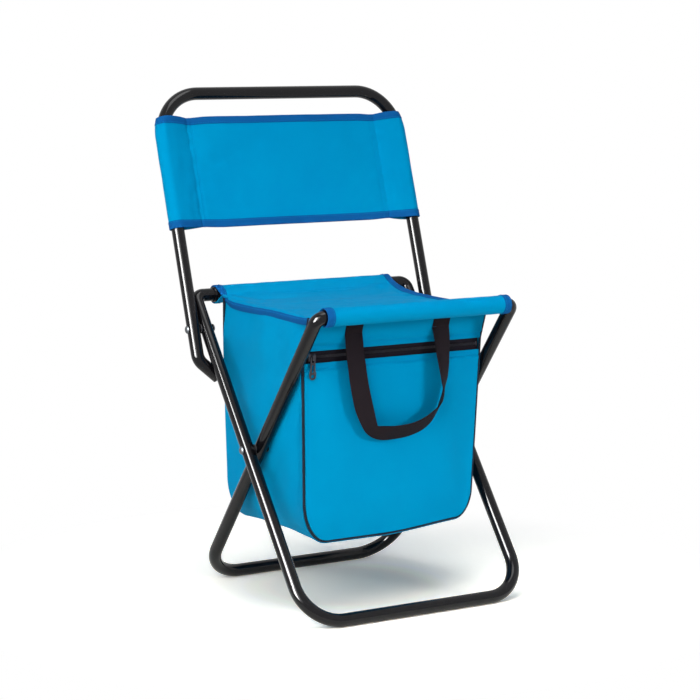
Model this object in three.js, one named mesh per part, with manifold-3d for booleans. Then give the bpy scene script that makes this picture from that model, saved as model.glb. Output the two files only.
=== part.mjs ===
// Folding stool with a backrest and an insulated bag under its seat, in millimetres, +Z up.
// Front faces -Y. Two tube loops cross as an X, a third loop carries the back band.
import * as THREE from 'three';
import { mergeVertices } from 'three/addons/utils/BufferGeometryUtils.js';
import Module from 'manifold-3d';

const wasm = await Module();
wasm.setup();

// Steel tube and the running clearances
const tubeDiameter = 16;
const tubeWall = 1.2;
const tubeSides = 16;
const boreSides = 10;
const runGap = 0.3;

// Crossing legs: lengths are along the leg, from the crossing rivet to the bar centres
const legLean = THREE.MathUtils.degToRad(37.2);
const legBelowCross = 231.5;
const legAboveCross = 216.5;
const outerLegHalfWidth = 155;
const floorBendRadius = 50;
const floorBendSteps = 8;
const seatBendRadius = 10;
const seatBendSteps = 5;

// Seat rails that the in-turned leg ends plug into
const railDiameter = 19;
const railSides = 24;
const railInsert = 30;
const rearStubShown = 24;
const frontStubShown = 11;

// Rivets and washers
const rivetShank = 5;
const rivetHead = 10;
const rivetHeadHeight = 2.6;
const rivetSides = 12;
const washerDiameter = 12;
const crossWasherThickness = 0.8;
const pivotWasherThickness = 1.4;

// Backrest loop: lengths are along its own lean, from its rivet
const backLean = THREE.MathUtils.degToRad(18.2);
const backPivotBelowRail = 47;
const backTop = 298;
const backBendRadius = 56;
const backBendSteps = 8;
const hookCornerBelow = 38.6;
const hookLength = 31.6;
const hookTurn = THREE.MathUtils.degToRad(46);
const hookBendRadius = 18;
const hookBendSteps = 4;
const plugStem = 12;
const plugFlange = 1.6;

// Back band
const bandBottom = 126.5;
const bandHeight = 141;
const bandFabric = 1.2;
const bandPocketDepth = 35;
const bandPocketClearance = 0.8;
const bandArcSteps = 14;
const bandTaperShares = [0.2, 0.4, 0.6, 0.8];
const bandTaperCrown = 0.8;
const bandFollowShare = 0.3;
const bindingWidth = 9;
const bindingFabric = 0.6;

// Seat sling
const seatFabric = 1.2;
const seatEndGap = 0.6;
const seatSideInset = 5;
const seatSag = 14;
const sleeveLeave = THREE.MathUtils.degToRad(32);
const sleeveEnd = THREE.MathUtils.degToRad(213);
const sleeveSteps = 12;
const seatSpanSteps = 9;
const hemStart = 15;
const hemWidth = 8;

// Bag
const bagBottomHeight = 85;
const bagBackSetIn = 20.8957084;
const bagFrontSetIn = 57.8957084;
const bagFrontLean = THREE.MathUtils.degToRad(1.9);
const bagStripLean = THREE.MathUtils.degToRad(17);
const bagSideGap = 0.8;
const bagTaper = 7.7;
const bagCornerRadius = 48;
const bagCornerSteps = 6;
const bagFabric = 1.5;
const bagFoldSteps = 8;
const liningThickness = 3;
const pipingDiameter = 3;
const pipingSides = 8;

// Zip across the bag's front
const zipBelowSeat = 49.8;
const zipShown = 13;
const tapeThickness = 0.7;
const tapeWidth = 10;
const coilDiameter = 3.2;
const coilSides = 8;
const stopLength = 3;
const sliderLength = 10;
const sliderHeight = 9;
const sliderPlate = 1.6;
const sliderFlange = 1.5;
const archRise = 3;
const archSpan = 8;
const archThickness = 1;
const archWidth = 2.4;
const pullLength = 27;
const pullWidth = 9;
const pullThickness = 1.2;
const pullBarHeight = 1.5;
const pullEyeWidth = 3.6;
const pullEyeHeight = 5.4;
const pullHoleWidth = 5;
const pullHoleHeight = 7;
const pullHoleSides = 16;

// Webbing handle
const webbingWidth = 25;
const webbingThickness = 1.8;
const handleHalfSpacing = 62;
const handleAboveZip = 20;
const handleAnchor = 12;
const handleDrop = 123;
const handleStandOff = 19.5;
const handleSteps = 40;
const handleLean = THREE.MathUtils.degToRad(38);

// Sizes that follow from the ones above
const tubeRadius = tubeDiameter / 2;
const boreRadius = tubeRadius - tubeWall;
const tubeFlat = tubeRadius * Math.cos(Math.PI / tubeSides);
const crossHeight = tubeFlat + legBelowCross * Math.cos(legLean);
const innerLegHalfWidth = outerLegHalfWidth - tubeDiameter - crossWasherThickness - 2 * runGap;
const backHalfWidth = outerLegHalfWidth + tubeDiameter + pivotWasherThickness + 2 * runGap;
const railRadius = railDiameter / 2;
const railBore = (tubeRadius + runGap) / Math.cos(Math.PI / tubeSides);
const railHeight = crossHeight + legAboveCross * Math.cos(legLean);
const railDepth = legAboveCross * Math.sin(legLean);
const backPivotAboveCross = legAboveCross - backPivotBelowRail;
const rearRailHalfLength = outerLegHalfWidth - rearStubShown;
const frontRailHalfLength = innerLegHalfWidth - frontStubShown;
const rivetHole = rivetShank / 2 + runGap;
const seatHalfWidth = innerLegHalfWidth - tubeRadius - seatEndGap;
const bagBackDepth = railDepth - bagBackSetIn;
const bagFrontBottomDepth = railDepth - bagFrontSetIn;
const bagTopHalfWidth = seatHalfWidth - bagSideGap;
const bagBottomHalfWidth = bagTopHalfWidth - bagTaper;

const xAxis = new THREE.Vector3(1, 0, 0);
const yAxis = new THREE.Vector3(0, 1, 0);

const steelBlack = new THREE.MeshStandardMaterial({ color: 0x151517, roughness: 0.28, metalness: 0.35 });
const zincSteel = new THREE.MeshStandardMaterial({ color: 0xb4b6b8, roughness: 0.35, metalness: 1 });
const plasticBlack = new THREE.MeshStandardMaterial({ color: 0x1b1b1d, roughness: 0.55, metalness: 0 });
const fabricBlue = new THREE.MeshStandardMaterial({ color: 0x0a86cf, roughness: 0.85, metalness: 0 });
const bindingBlue = new THREE.MeshStandardMaterial({ color: 0x0f5fb4, roughness: 0.8, metalness: 0 });
const webbingBlack = new THREE.MeshStandardMaterial({ color: 0x17171a, roughness: 0.8, metalness: 0 });
const liningSilver = new THREE.MeshStandardMaterial({ color: 0xb9bec4, roughness: 0.4, metalness: 0.5 });

// A route given by stations, each with its own tangent and section direction
class StationPath extends THREE.Curve {
  constructor(points, tangents, normals) {
    super();
    this.points = points;
    this.tangents = tangents;
    this.normals = normals;
  }

  station(share) {
    return Math.round(share * (this.points.length - 1));
  }

  getPoint(share) {
    return this.points[this.station(share)].clone();
  }

  getPointAt(share) {
    return this.getPoint(share);
  }

  getTangentAt(share) {
    return this.tangents[this.station(share)].clone();
  }

  computeFrenetFrames() {
    const binormals = this.tangents.map((tangent, i) =>
      new THREE.Vector3().crossVectors(tangent, this.normals[i]));
    return { tangents: this.tangents, normals: this.normals, binormals };
  }
}

// A flat route through corners, each rounded with its own bend
function bentRoute(corners, bends, planeNormal) {
  const points = [corners[0].clone()];
  const tangents = [corners[1].clone().sub(corners[0]).normalize()];
  for (let i = 1; i < corners.length - 1; i += 1) {
    const arriving = corners[i].clone().sub(corners[i - 1]).normalize();
    const leaving = corners[i + 1].clone().sub(corners[i]).normalize();
    const turn = arriving.angleTo(leaving);
    const { radius, steps } = bends[i - 1];
    const inward = leaving.clone().addScaledVector(arriving, -arriving.dot(leaving)).normalize();
    const start = corners[i].clone().addScaledVector(arriving, -radius * Math.tan(turn / 2));
    for (let k = 0; k <= steps; k += 1) {
      const angle = turn * k / steps;
      points.push(start.clone()
        .addScaledVector(arriving, radius * Math.sin(angle))
        .addScaledVector(inward, radius * (1 - Math.cos(angle))));
      tangents.push(arriving.clone().multiplyScalar(Math.cos(angle))
        .addScaledVector(inward, Math.sin(angle)));
    }
  }
  const last = corners.length - 1;
  points.push(corners[last].clone());
  tangents.push(corners[last].clone().sub(corners[last - 1]).normalize());
  return new StationPath(points, tangents, points.map(() => planeNormal.clone()));
}

// The direction at each point, halfway between the stretches that meet there
function tangentsOf(points) {
  return points.map((point, k) => {
    const arriving = point.clone().sub(points[Math.max(k - 1, 0)]).normalize();
    const leaving = points[Math.min(k + 1, points.length - 1)].clone().sub(point).normalize();
    return arriving.add(leaving).normalize();
  });
}

function ringOfPoints(radius, sides, turn = 0) {
  return Array.from({ length: sides }, (_, k) => {
    const angle = turn + 2 * Math.PI * k / sides;
    return new THREE.Vector2(radius * Math.cos(angle), radius * Math.sin(angle));
  });
}

function tubeSection(radius, sides, hole, holeSides, turn = 0) {
  const section = new THREE.Shape(ringOfPoints(radius, sides, turn));
  section.holes.push(new THREE.Path(ringOfPoints(hole, holeSides)));
  return section;
}

function rectangleSection(across, thick) {
  return new THREE.Shape([
    new THREE.Vector2(-thick / 2, -across / 2),
    new THREE.Vector2(thick / 2, -across / 2),
    new THREE.Vector2(thick / 2, across / 2),
    new THREE.Vector2(-thick / 2, across / 2),
  ]);
}

function sweep(section, path) {
  return new THREE.ExtrudeGeometry(section, {
    steps: path.points.length - 1, extrudePath: path, bevelEnabled: false,
  });
}

// An outline in the XZ plane given depth along +Y from y = 0
function plate(shape, depth, steps = 1) {
  const geometry = new THREE.ExtrudeGeometry(shape, { depth, steps, bevelEnabled: false });
  geometry.rotateX(Math.PI / 2);
  geometry.translate(0, depth, 0);
  return geometry;
}

function toSolid(geometry) {
  const bare = geometry.clone();
  bare.deleteAttribute('normal');
  bare.deleteAttribute('uv');
  const merged = mergeVertices(bare);
  return new wasm.Manifold(new wasm.Mesh({
    numProp: 3,
    vertProperties: new Float32Array(merged.attributes.position.array),
    triVerts: new Uint32Array(merged.index.array),
  }));
}

function toGeometry(solid) {
  const mesh = solid.getMesh();
  const geometry = new THREE.BufferGeometry();
  geometry.setAttribute('position', new THREE.BufferAttribute(new Float32Array(mesh.vertProperties), 3));
  geometry.setIndex(new THREE.BufferAttribute(new Uint32Array(mesh.triVerts), 1));
  geometry.computeVertexNormals();
  return geometry;
}

// Drills a hole along X through both sides of a loop, at a height along its leg
function drilled(geometry, radius, height) {
  const drill = new THREE.CylinderGeometry(radius, radius, 2 * backHalfWidth + 2 * tubeDiameter, rivetSides);
  drill.rotateZ(Math.PI / 2);
  drill.translate(0, 0, height);
  return toGeometry(toSolid(geometry).subtract(toSolid(drill)));
}

function warp(geometry, move) {
  const positions = geometry.attributes.position;
  const point = new THREE.Vector3();
  for (let i = 0; i < positions.count; i += 1) {
    point.fromBufferAttribute(positions, i);
    move(point);
    positions.setXYZ(i, point.x, point.y, point.z);
  }
  geometry.computeVertexNormals();
  return geometry;
}

function addMesh(parent, name, geometry, material) {
  const mesh = new THREE.Mesh(geometry, material);
  mesh.name = name;
  parent.add(mesh);
  return mesh;
}

const stool = new THREE.Group();
const outerLegs = new THREE.Group();
outerLegs.position.z = crossHeight;
outerLegs.rotation.x = -legLean;
const innerLegs = new THREE.Group();
innerLegs.position.z = crossHeight;
innerLegs.rotation.x = legLean;
const backrest = new THREE.Group();
backrest.position.z = backPivotAboveCross;
backrest.rotation.x = legLean - backLean;
outerLegs.add(backrest);
stool.add(outerLegs, innerLegs);

// Leg loops: floor bar, two legs and in-turned ends, with a flat of the tube on the floor
function legFrame(name, parent, halfWidth, railHalfLength, leanSide, holes) {
  const endX = railHalfLength - railInsert;
  const corner = (x, z) => new THREE.Vector3(x, 0, z);
  const seatBend = { radius: seatBendRadius, steps: seatBendSteps };
  const floorBend = { radius: floorBendRadius, steps: floorBendSteps };
  const route = bentRoute([
    corner(-endX, legAboveCross),
    corner(-halfWidth, legAboveCross),
    corner(-halfWidth, -legBelowCross),
    corner(halfWidth, -legBelowCross),
    corner(halfWidth, legAboveCross),
    corner(endX, legAboveCross),
  ], [seatBend, floorBend, floorBend, seatBend], yAxis);
  const downAngle = Math.atan2(-Math.cos(legLean), leanSide * Math.sin(legLean));
  const section = tubeSection(tubeRadius, tubeSides, boreRadius, boreSides, downAngle + Math.PI / tubeSides);
  let geometry = sweep(section, route);
  for (const height of holes) {
    geometry = drilled(geometry, rivetHole, height);
  }
  addMesh(parent, name, geometry, steelBlack);
}

function seatRail(name, parent, halfLength) {
  const section = tubeSection(railRadius, railSides, railBore, tubeSides);
  const geometry = new THREE.ExtrudeGeometry(section, { depth: 2 * halfLength, bevelEnabled: false });
  geometry.rotateY(Math.PI / 2);
  geometry.translate(-halfLength, 0, 0);
  addMesh(parent, name, geometry, steelBlack).position.z = legAboveCross;
}

legFrame('outer_leg_frame', outerLegs, outerLegHalfWidth, rearRailHalfLength, 1, [0, backPivotAboveCross]);
legFrame('inner_leg_frame', innerLegs, innerLegHalfWidth, frontRailHalfLength, -1, [0]);
seatRail('rear_seat_rail', outerLegs, rearRailHalfLength);
seatRail('front_seat_rail', innerLegs, frontRailHalfLength);

// Backrest loop with its hooked ends, which bear on the back of the outer legs
function hookEnd(side) {
  return new THREE.Vector3(
    side * (backHalfWidth - hookLength * Math.sin(hookTurn)), 0,
    -hookCornerBelow - hookLength * Math.cos(hookTurn));
}

function backFrame() {
  const corner = (x, z) => new THREE.Vector3(x, 0, z);
  const hookBend = { radius: hookBendRadius, steps: hookBendSteps };
  const topBend = { radius: backBendRadius, steps: backBendSteps };
  const route = bentRoute([
    hookEnd(-1),
    corner(-backHalfWidth, -hookCornerBelow),
    corner(-backHalfWidth, backTop),
    corner(backHalfWidth, backTop),
    corner(backHalfWidth, -hookCornerBelow),
    hookEnd(1),
  ], [hookBend, topBend, topBend, hookBend], yAxis);
  const section = tubeSection(tubeRadius, tubeSides, boreRadius, boreSides);
  addMesh(backrest, 'backrest_frame', drilled(sweep(section, route), rivetHole, 0), steelBlack);
}

function endPlug(name, side) {
  const stemRadius = boreRadius * Math.cos(Math.PI / boreSides) - runGap;
  const profile = [
    new THREE.Vector2(0, -plugStem),
    new THREE.Vector2(stemRadius, -plugStem),
    new THREE.Vector2(stemRadius, runGap),
    new THREE.Vector2(tubeRadius, runGap),
    new THREE.Vector2(tubeRadius, runGap + plugFlange / 2),
    new THREE.Vector2(tubeRadius - plugFlange, runGap + plugFlange),
    new THREE.Vector2(0, runGap + plugFlange),
  ];
  const plug = addMesh(backrest, name, new THREE.LatheGeometry(profile, tubeSides), plasticBlack);
  plug.position.copy(hookEnd(side));
  const outward = new THREE.Vector3(-side * Math.sin(hookTurn), 0, -Math.cos(hookTurn));
  plug.quaternion.setFromUnitVectors(yAxis, outward);
}

backFrame();
endPlug('backrest_plug_left', -1);
endPlug('backrest_plug_right', 1);

// A domed rivet along X, from the outer face of one tube to the inner face of the next
function rivet(name, parent, outerX, innerX, height) {
  const length = Math.abs(outerX - innerX);
  const headRadius = rivetHead / 2;
  const shankRadius = rivetShank / 2;
  const dome = [0, 1, 2, 3].map((k) => {
    const angle = Math.PI / 2 * k / 3;
    return [headRadius * Math.cos(angle), rivetHeadHeight * Math.sin(angle)];
  });
  const profile = [
    ...dome.slice().reverse().map(([r, h]) => new THREE.Vector2(r < runGap ? 0 : r, -length / 2 - h)),
    new THREE.Vector2(shankRadius, -length / 2),
    new THREE.Vector2(shankRadius, length / 2),
    ...dome.map(([r, h]) => new THREE.Vector2(r < runGap ? 0 : r, length / 2 + h)),
  ];
  const geometry = new THREE.LatheGeometry(profile, rivetSides);
  geometry.rotateZ(Math.PI / 2);
  const mesh = addMesh(parent, name, geometry, zincSteel);
  mesh.position.set((outerX + innerX) / 2, 0, height);
}

function washer(name, parent, centreX, thickness, height) {
  const section = tubeSection(washerDiameter / 2, tubeSides, rivetHole, rivetSides);
  const geometry = new THREE.ExtrudeGeometry(section, { depth: thickness, bevelEnabled: false });
  geometry.rotateY(Math.PI / 2);
  geometry.translate(-thickness / 2, 0, 0);
  addMesh(parent, name, geometry, plasticBlack).position.set(centreX, 0, height);
}

for (const [sideName, side] of [['left', -1], ['right', 1]]) {
  const outerFace = outerLegHalfWidth + tubeRadius;
  const innerFace = outerLegHalfWidth - tubeRadius;
  rivet(`crossing_rivet_${sideName}`, outerLegs, side * (outerFace + runGap),
    side * (innerLegHalfWidth - tubeRadius - runGap), 0);
  washer(`crossing_washer_${sideName}`, outerLegs,
    side * (innerFace - runGap - crossWasherThickness / 2), crossWasherThickness, 0);
  rivet(`backrest_rivet_${sideName}`, outerLegs, side * (backHalfWidth + tubeRadius + runGap),
    side * (innerFace - runGap), backPivotAboveCross);
  washer(`backrest_washer_${sideName}`, outerLegs,
    side * (outerFace + runGap + pivotWasherThickness / 2), pivotWasherThickness, backPivotAboveCross);
}

// Back band: a double web between two tapered pockets, seen from above as one outline
const pocketRadius = tubeRadius + bandPocketClearance;
const seamX = backHalfWidth - bandPocketDepth;

function bandContour(grow) {
  const radius = pocketRadius + bandFabric + grow;
  const seamY = bandFabric + grow;
  const leave = Math.atan2(seamY, bandPocketDepth) + Math.acos(radius / Math.hypot(bandPocketDepth, seamY));
  const seam = new THREE.Vector2(-seamX, seamY);
  const arc = [];
  for (let k = 0; k <= bandArcSteps; k += 1) {
    const angle = leave + (2 * Math.PI - 2 * leave) * k / bandArcSteps;
    arc.push(new THREE.Vector2(-backHalfWidth + radius * Math.cos(angle), radius * Math.sin(angle)));
  }
  const taper = bandTaperShares.map((share) =>
    seam.clone().lerp(arc[0], share).add(new THREE.Vector2(0, 4 * bandTaperCrown * share * (1 - share))));
  const upper = [seam, ...taper, ...arc.slice(0, bandArcSteps / 2 + 1)];
  const lower = upper.slice(0, -1).reverse().map((point) => new THREE.Vector2(point.x, -point.y));
  const left = [...upper, ...lower];
  const right = left.map((point) => new THREE.Vector2(-point.x, -point.y));
  return [...left, ...right];
}

function bandPocket(side) {
  const apex = bandPocketDepth - bandFabric;
  const radius = pocketRadius / Math.cos(Math.PI / (2 * bandArcSteps));
  const leave = Math.acos(radius / apex);
  const points = [new THREE.Vector2(side * (backHalfWidth - apex), 0)];
  for (let k = 0; k <= bandArcSteps; k += 1) {
    const angle = leave + (2 * Math.PI - 2 * leave) * k / bandArcSteps;
    points.push(new THREE.Vector2(side * (backHalfWidth - radius * Math.cos(angle)), radius * Math.sin(angle)));
  }
  return new THREE.Path(points);
}

// Above the foot of the loop's bend the pockets follow the tube inwards, and the web stays
function followBend(point) {
  const above = point.z - (backTop - backBendRadius);
  const reach = Math.abs(point.x);
  if (above <= 0 || reach <= seamX) {
    return;
  }
  const pocketStart = backHalfWidth - bandFollowShare * pocketRadius;
  const bendCentre = backHalfWidth - backBendRadius;
  const arm = Math.max(reach, pocketStart) - bendCentre;
  const drawnIn = arm - Math.sqrt(arm * arm - above * above);
  const share = Math.min((reach - seamX) / (pocketStart - seamX), 1);
  point.x = Math.sign(point.x) * (reach - drawnIn * share);
}

function backBand() {
  const shape = new THREE.Shape(bandContour(0));
  shape.holes.push(bandPocket(-1), bandPocket(1));
  const bendFoot = backTop - backBendRadius;
  const top = bandBottom + bandHeight;
  const heights = [bandBottom, bendFoot, (bendFoot + top - bindingWidth) / 2, top - bindingWidth, top];
  const geometry = new THREE.ExtrudeGeometry(shape, {
    depth: heights.length - 1, steps: heights.length - 1, bevelEnabled: false,
  });
  warp(geometry, (point) => {
    point.z = heights[Math.round(point.z)];
    followBend(point);
  });
  addMesh(backrest, 'backrest_band', geometry, fabricBlue);
}

function bandBinding(name, bottom) {
  const shape = new THREE.Shape(bandContour(runGap + bindingFabric));
  shape.holes.push(new THREE.Path(bandContour(runGap)));
  const geometry = new THREE.ExtrudeGeometry(shape, { depth: bindingWidth, bevelEnabled: false });
  geometry.translate(0, 0, bottom);
  addMesh(backrest, name, warp(geometry, followBend), bindingBlue);
}

backBand();
bandBinding('backrest_binding_top', bandBottom + bandHeight - bindingWidth);
bandBinding('backrest_binding_bottom', bandBottom);

// Seat sling: its middle line in the YZ plane, from the middle of the seat round the rear rail
const sleeveRadius = (railRadius + runGap + seatFabric / 2)
  / Math.cos((sleeveLeave + sleeveEnd) / (2 * sleeveSteps));
const leavePoint = new THREE.Vector2(
  railDepth - sleeveRadius * Math.sin(sleeveLeave), railHeight + sleeveRadius * Math.cos(sleeveLeave));
const seatLow = railHeight + sleeveRadius - seatSag;
const spanFlatShare = 0.55;
const spanRiseShare = 0.22;
const spanCurve = new THREE.CubicBezierCurve(
  new THREE.Vector2(0, seatLow),
  new THREE.Vector2(leavePoint.x * spanFlatShare, seatLow),
  new THREE.Vector2(
    leavePoint.x * (1 - spanRiseShare),
    leavePoint.y - leavePoint.x * spanRiseShare * Math.tan(sleeveLeave)),
  leavePoint);
const spanPoints = spanCurve.getSpacedPoints(seatSpanSteps);
const spanLength = spanCurve.getLength();

function seatHeightAt(depth) {
  const reach = Math.min(Math.abs(depth), leavePoint.x);
  const next = spanPoints.findIndex((point) => point.x >= reach);
  if (next <= 0) {
    return spanPoints[0].y;
  }
  const from = spanPoints[next - 1];
  const to = spanPoints[next];
  return THREE.MathUtils.lerp(from.y, to.y, (reach - from.x) / (to.x - from.x));
}

function underSpan(backFromSleeve, drop) {
  const share = 1 - backFromSleeve / spanLength;
  const point = spanCurve.getPointAt(share);
  const tangent = spanCurve.getTangentAt(share);
  return new THREE.Vector2(point.x + drop * tangent.y, point.y - drop * tangent.x);
}

function halfSeatLine() {
  const line = spanPoints.slice();
  for (let k = 1; k <= sleeveSteps; k += 1) {
    const angle = sleeveLeave - (sleeveLeave + sleeveEnd) * k / sleeveSteps;
    line.push(new THREE.Vector2(
      railDepth - sleeveRadius * Math.sin(angle), railHeight + sleeveRadius * Math.cos(angle)));
  }
  const hemDrop = seatFabric + runGap;
  line.push(underSpan(hemStart, hemDrop), underSpan(hemStart + hemWidth, hemDrop));
  return line;
}

function seatHalfWidthAt(depth) {
  const share = Math.min(Math.abs(depth) / railDepth, 1);
  return seatHalfWidth - seatSideInset * (1 - share * share);
}

function seatSling() {
  const rearHalf = halfSeatLine();
  const frontHalf = rearHalf.slice(1).reverse().map((point) => new THREE.Vector2(-point.x, point.y));
  const points = [...frontHalf, ...rearHalf].map((point) => new THREE.Vector3(0, point.x, point.y));
  const tangents = tangentsOf(points);
  const normals = tangents.map((tangent) => new THREE.Vector3().crossVectors(xAxis, tangent));
  const strip = rectangleSection(2 * seatHalfWidth, seatFabric);
  const geometry = sweep(strip, new StationPath(points, tangents, normals));
  warp(geometry, (point) => {
    point.x *= seatHalfWidthAt(point.y) / seatHalfWidth;
  });
  addMesh(stool, 'seat_sling', geometry, fabricBlue);
}

function seatBinding(name, side) {
  const hemStations = Math.ceil((hemStart + hemWidth) * seatSpanSteps / spanLength);
  const half = spanPoints.slice(0, spanPoints.length - hemStations);
  const line = [...half.slice(1).reverse().map((point) => new THREE.Vector2(-point.x, point.y)), ...half];
  const points = line.map((point) =>
    new THREE.Vector3(side * seatHalfWidthAt(point.x), point.x, point.y));
  const tangents = tangentsOf(points);
  const normals = tangents.map((tangent) =>
    xAxis.clone().multiplyScalar(side).addScaledVector(tangent, -side * tangent.x).normalize());
  const inner = seatFabric / 2 + runGap;
  const outer = inner + bindingFabric;
  const channel = new THREE.Shape([
    new THREE.Vector2(-bindingWidth, -outer),
    new THREE.Vector2(runGap + bindingFabric, -outer),
    new THREE.Vector2(runGap + bindingFabric, outer),
    new THREE.Vector2(-bindingWidth, outer),
    new THREE.Vector2(-bindingWidth, inner),
    new THREE.Vector2(runGap, inner),
    new THREE.Vector2(runGap, -inner),
    new THREE.Vector2(-bindingWidth, -inner),
  ]);
  addMesh(stool, name, sweep(channel, new StationPath(points, tangents, normals)), bindingBlue);
}

seatSling();
seatBinding('seat_binding_left', -1);
seatBinding('seat_binding_right', 1);

// Bag: a U of side and bottom fabric between a leaning front panel and an upright back panel
const bagDrop = seatFabric / 2 + bindingFabric + 2 * runGap;
const hemClear = 2 * seatFabric + 2 * runGap;
const nearTop = seatLow - bagBottomHeight;
const zipHeight = nearTop - zipBelowSeat;
const zipBottom = zipHeight - zipShown / 2;
const zipTop = zipHeight + zipShown / 2;
const handleHinge = zipTop + handleAboveZip;

// Above the zip the front leans further out, towards the seat's front edge
function stripReach(height) {
  return Math.max(height - zipTop, 0) * Math.tan(bagStripLean);
}

const bagFrontTopDepth = bagFrontBottomDepth + nearTop * Math.tan(bagFrontLean) + stripReach(nearTop);
const bagFrontTop = (seatHeightAt(bagFrontTopDepth) - bagDrop - runGap - bagBottomHeight)
  / Math.cos(bagFrontLean);
const bagBackTop = seatHeightAt(bagBackDepth) - hemClear - runGap - bagBottomHeight;

function bagHalfWidthAt(height) {
  return THREE.MathUtils.lerp(bagBottomHalfWidth, bagTopHalfWidth, Math.min(height / zipTop, 1));
}

// The bag's outline inset by a given amount, from its top left down and round to its top right
function bagLine(inset, top) {
  const radius = bagCornerRadius - inset;
  const cornerX = bagHalfWidthAt(bagCornerRadius) - bagCornerRadius;
  const left = [new THREE.Vector2(-bagHalfWidthAt(top) + inset, top)];
  if (top > zipTop) {
    left.push(new THREE.Vector2(-bagHalfWidthAt(zipTop) + inset, zipTop));
  }
  for (let k = 0; k <= bagCornerSteps; k += 1) {
    const angle = Math.PI + Math.PI / 2 * k / bagCornerSteps;
    left.push(new THREE.Vector2(-cornerX + radius * Math.cos(angle), bagCornerRadius + radius * Math.sin(angle)));
  }
  const right = left.slice().reverse().map((point) => new THREE.Vector2(-point.x, point.y));
  return [...left, ...right];
}

const bagFront = new THREE.Group();
bagFront.position.set(0, -bagFrontBottomDepth, bagBottomHeight);
bagFront.rotation.x = bagFrontLean;
const bagBack = new THREE.Group();
bagBack.position.set(0, bagBackDepth, bagBottomHeight);
stool.add(bagFront, bagBack);

const panelInset = pipingDiameter + runGap;

function bagPanel(name, parent, top, depth) {
  addMesh(parent, name, plate(new THREE.Shape(bagLine(panelInset, top)), bagFabric), fabricBlue)
    .position.y = depth;
}

function leanOut(geometry) {
  return warp(geometry, (point) => {
    point.y -= stripReach(point.z);
  });
}

function topStrip() {
  const low = bagHalfWidthAt(zipTop) - panelInset;
  const high = bagHalfWidthAt(bagFrontTop) - panelInset;
  const shape = new THREE.Shape([
    new THREE.Vector2(-low, zipTop),
    new THREE.Vector2(low, zipTop),
    new THREE.Vector2(high, bagFrontTop),
    new THREE.Vector2(-high, bagFrontTop),
  ]);
  addMesh(bagFront, 'bag_front_top_strip', leanOut(plate(shape, bagFabric)), fabricBlue);
}

function piping(name, parent, top, depth) {
  const line = bagLine(pipingDiameter / 2, top);
  const points = line.map((point) => new THREE.Vector3(point.x, 0, point.y));
  const tangents = tangentsOf(points);
  const path = new StationPath(points, tangents, points.map(() => yAxis.clone()));
  const section = new THREE.Shape(ringOfPoints(pipingDiameter / 2, pipingSides));
  const geometry = sweep(section, path);
  addMesh(parent, name, parent === bagFront ? leanOut(geometry) : geometry, webbingBlack).position.y = depth;
}

// A closed sheet between an outer and an inner grid of points, row by row
function sheetBetween(outer, inner) {
  const rows = outer.length;
  const columns = outer[0].length;
  const at = (layer, row, column) => (layer * rows + row) * columns + column;
  const index = [];
  const quad = (a, b, c, d) => index.push(a, b, c, a, c, d);
  for (let r = 0; r < rows - 1; r += 1) {
    for (let c = 0; c < columns - 1; c += 1) {
      quad(at(0, r, c), at(0, r, c + 1), at(0, r + 1, c + 1), at(0, r + 1, c));
      quad(at(1, r, c), at(1, r + 1, c), at(1, r + 1, c + 1), at(1, r, c + 1));
    }
    const back = columns - 1;
    quad(at(0, r, 0), at(0, r + 1, 0), at(1, r + 1, 0), at(1, r, 0));
    quad(at(0, r, back), at(1, r, back), at(1, r + 1, back), at(0, r + 1, back));
  }
  const end = rows - 1;
  for (let c = 0; c < columns - 1; c += 1) {
    quad(at(0, 0, c), at(1, 0, c), at(1, 0, c + 1), at(0, 0, c + 1));
    quad(at(0, end, c), at(0, end, c + 1), at(1, end, c + 1), at(1, end, c));
  }
  const geometry = new THREE.BufferGeometry().setFromPoints([...outer.flat(), ...inner.flat()]);
  geometry.setIndex(index);
  geometry.computeVertexNormals();
  return geometry;
}

// A U of one wall thickness: its front edge follows the front panel and its rims follow the seat
function bagBand(name, inset, thickness, frontGap, backGap, rimDrop, material) {
  const frontRim = seatHeightAt(bagFrontTopDepth) - rimDrop - bagBottomHeight;
  const grid = (lineInset) => {
    const line = bagLine(lineInset, bagFrontTop);
    return line.map((place, row) => Array.from({ length: bagFoldSteps + 1 }, (_, k) => {
      const height = Math.min(place.y, frontRim);
      const front = -bagFrontBottomDepth + frontGap - height * Math.tan(bagFrontLean) - stripReach(height);
      const depth = THREE.MathUtils.lerp(front, bagBackDepth - backGap, k / bagFoldSteps);
      const atRim = row === 0 || row === line.length - 1;
      const rim = seatHeightAt(depth) - rimDrop - bagBottomHeight;
      return new THREE.Vector3(place.x, depth, atRim ? rim : place.y);
    }));
  };
  addMesh(stool, name, sheetBetween(grid(inset), grid(inset + thickness)), material)
    .position.z = bagBottomHeight;
}

function liningPlate(name, parent, inset, top, depth) {
  const shape = new THREE.Shape(bagLine(inset, top));
  addMesh(parent, name, plate(shape, liningThickness), liningSilver).position.y = depth;
}

const seamDepth = bagFabric + runGap;
const rimDrop = hemClear + runGap;
bagPanel('bag_front_panel', bagFront, zipBottom, 0);
bagPanel('bag_back_panel', bagBack, bagBackTop, -bagFabric);
topStrip();
piping('bag_front_piping', bagFront, bagFrontTop, pipingDiameter / 2 - runGap);
piping('bag_back_piping', bagBack, bagBackTop, runGap - pipingDiameter / 2);
const pipingReach = pipingDiameter - runGap;
const gussetGap = pipingReach + runGap;
bagBand('bag_gusset', 0, bagFabric, gussetGap, gussetGap, rimDrop, fabricBlue);

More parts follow.
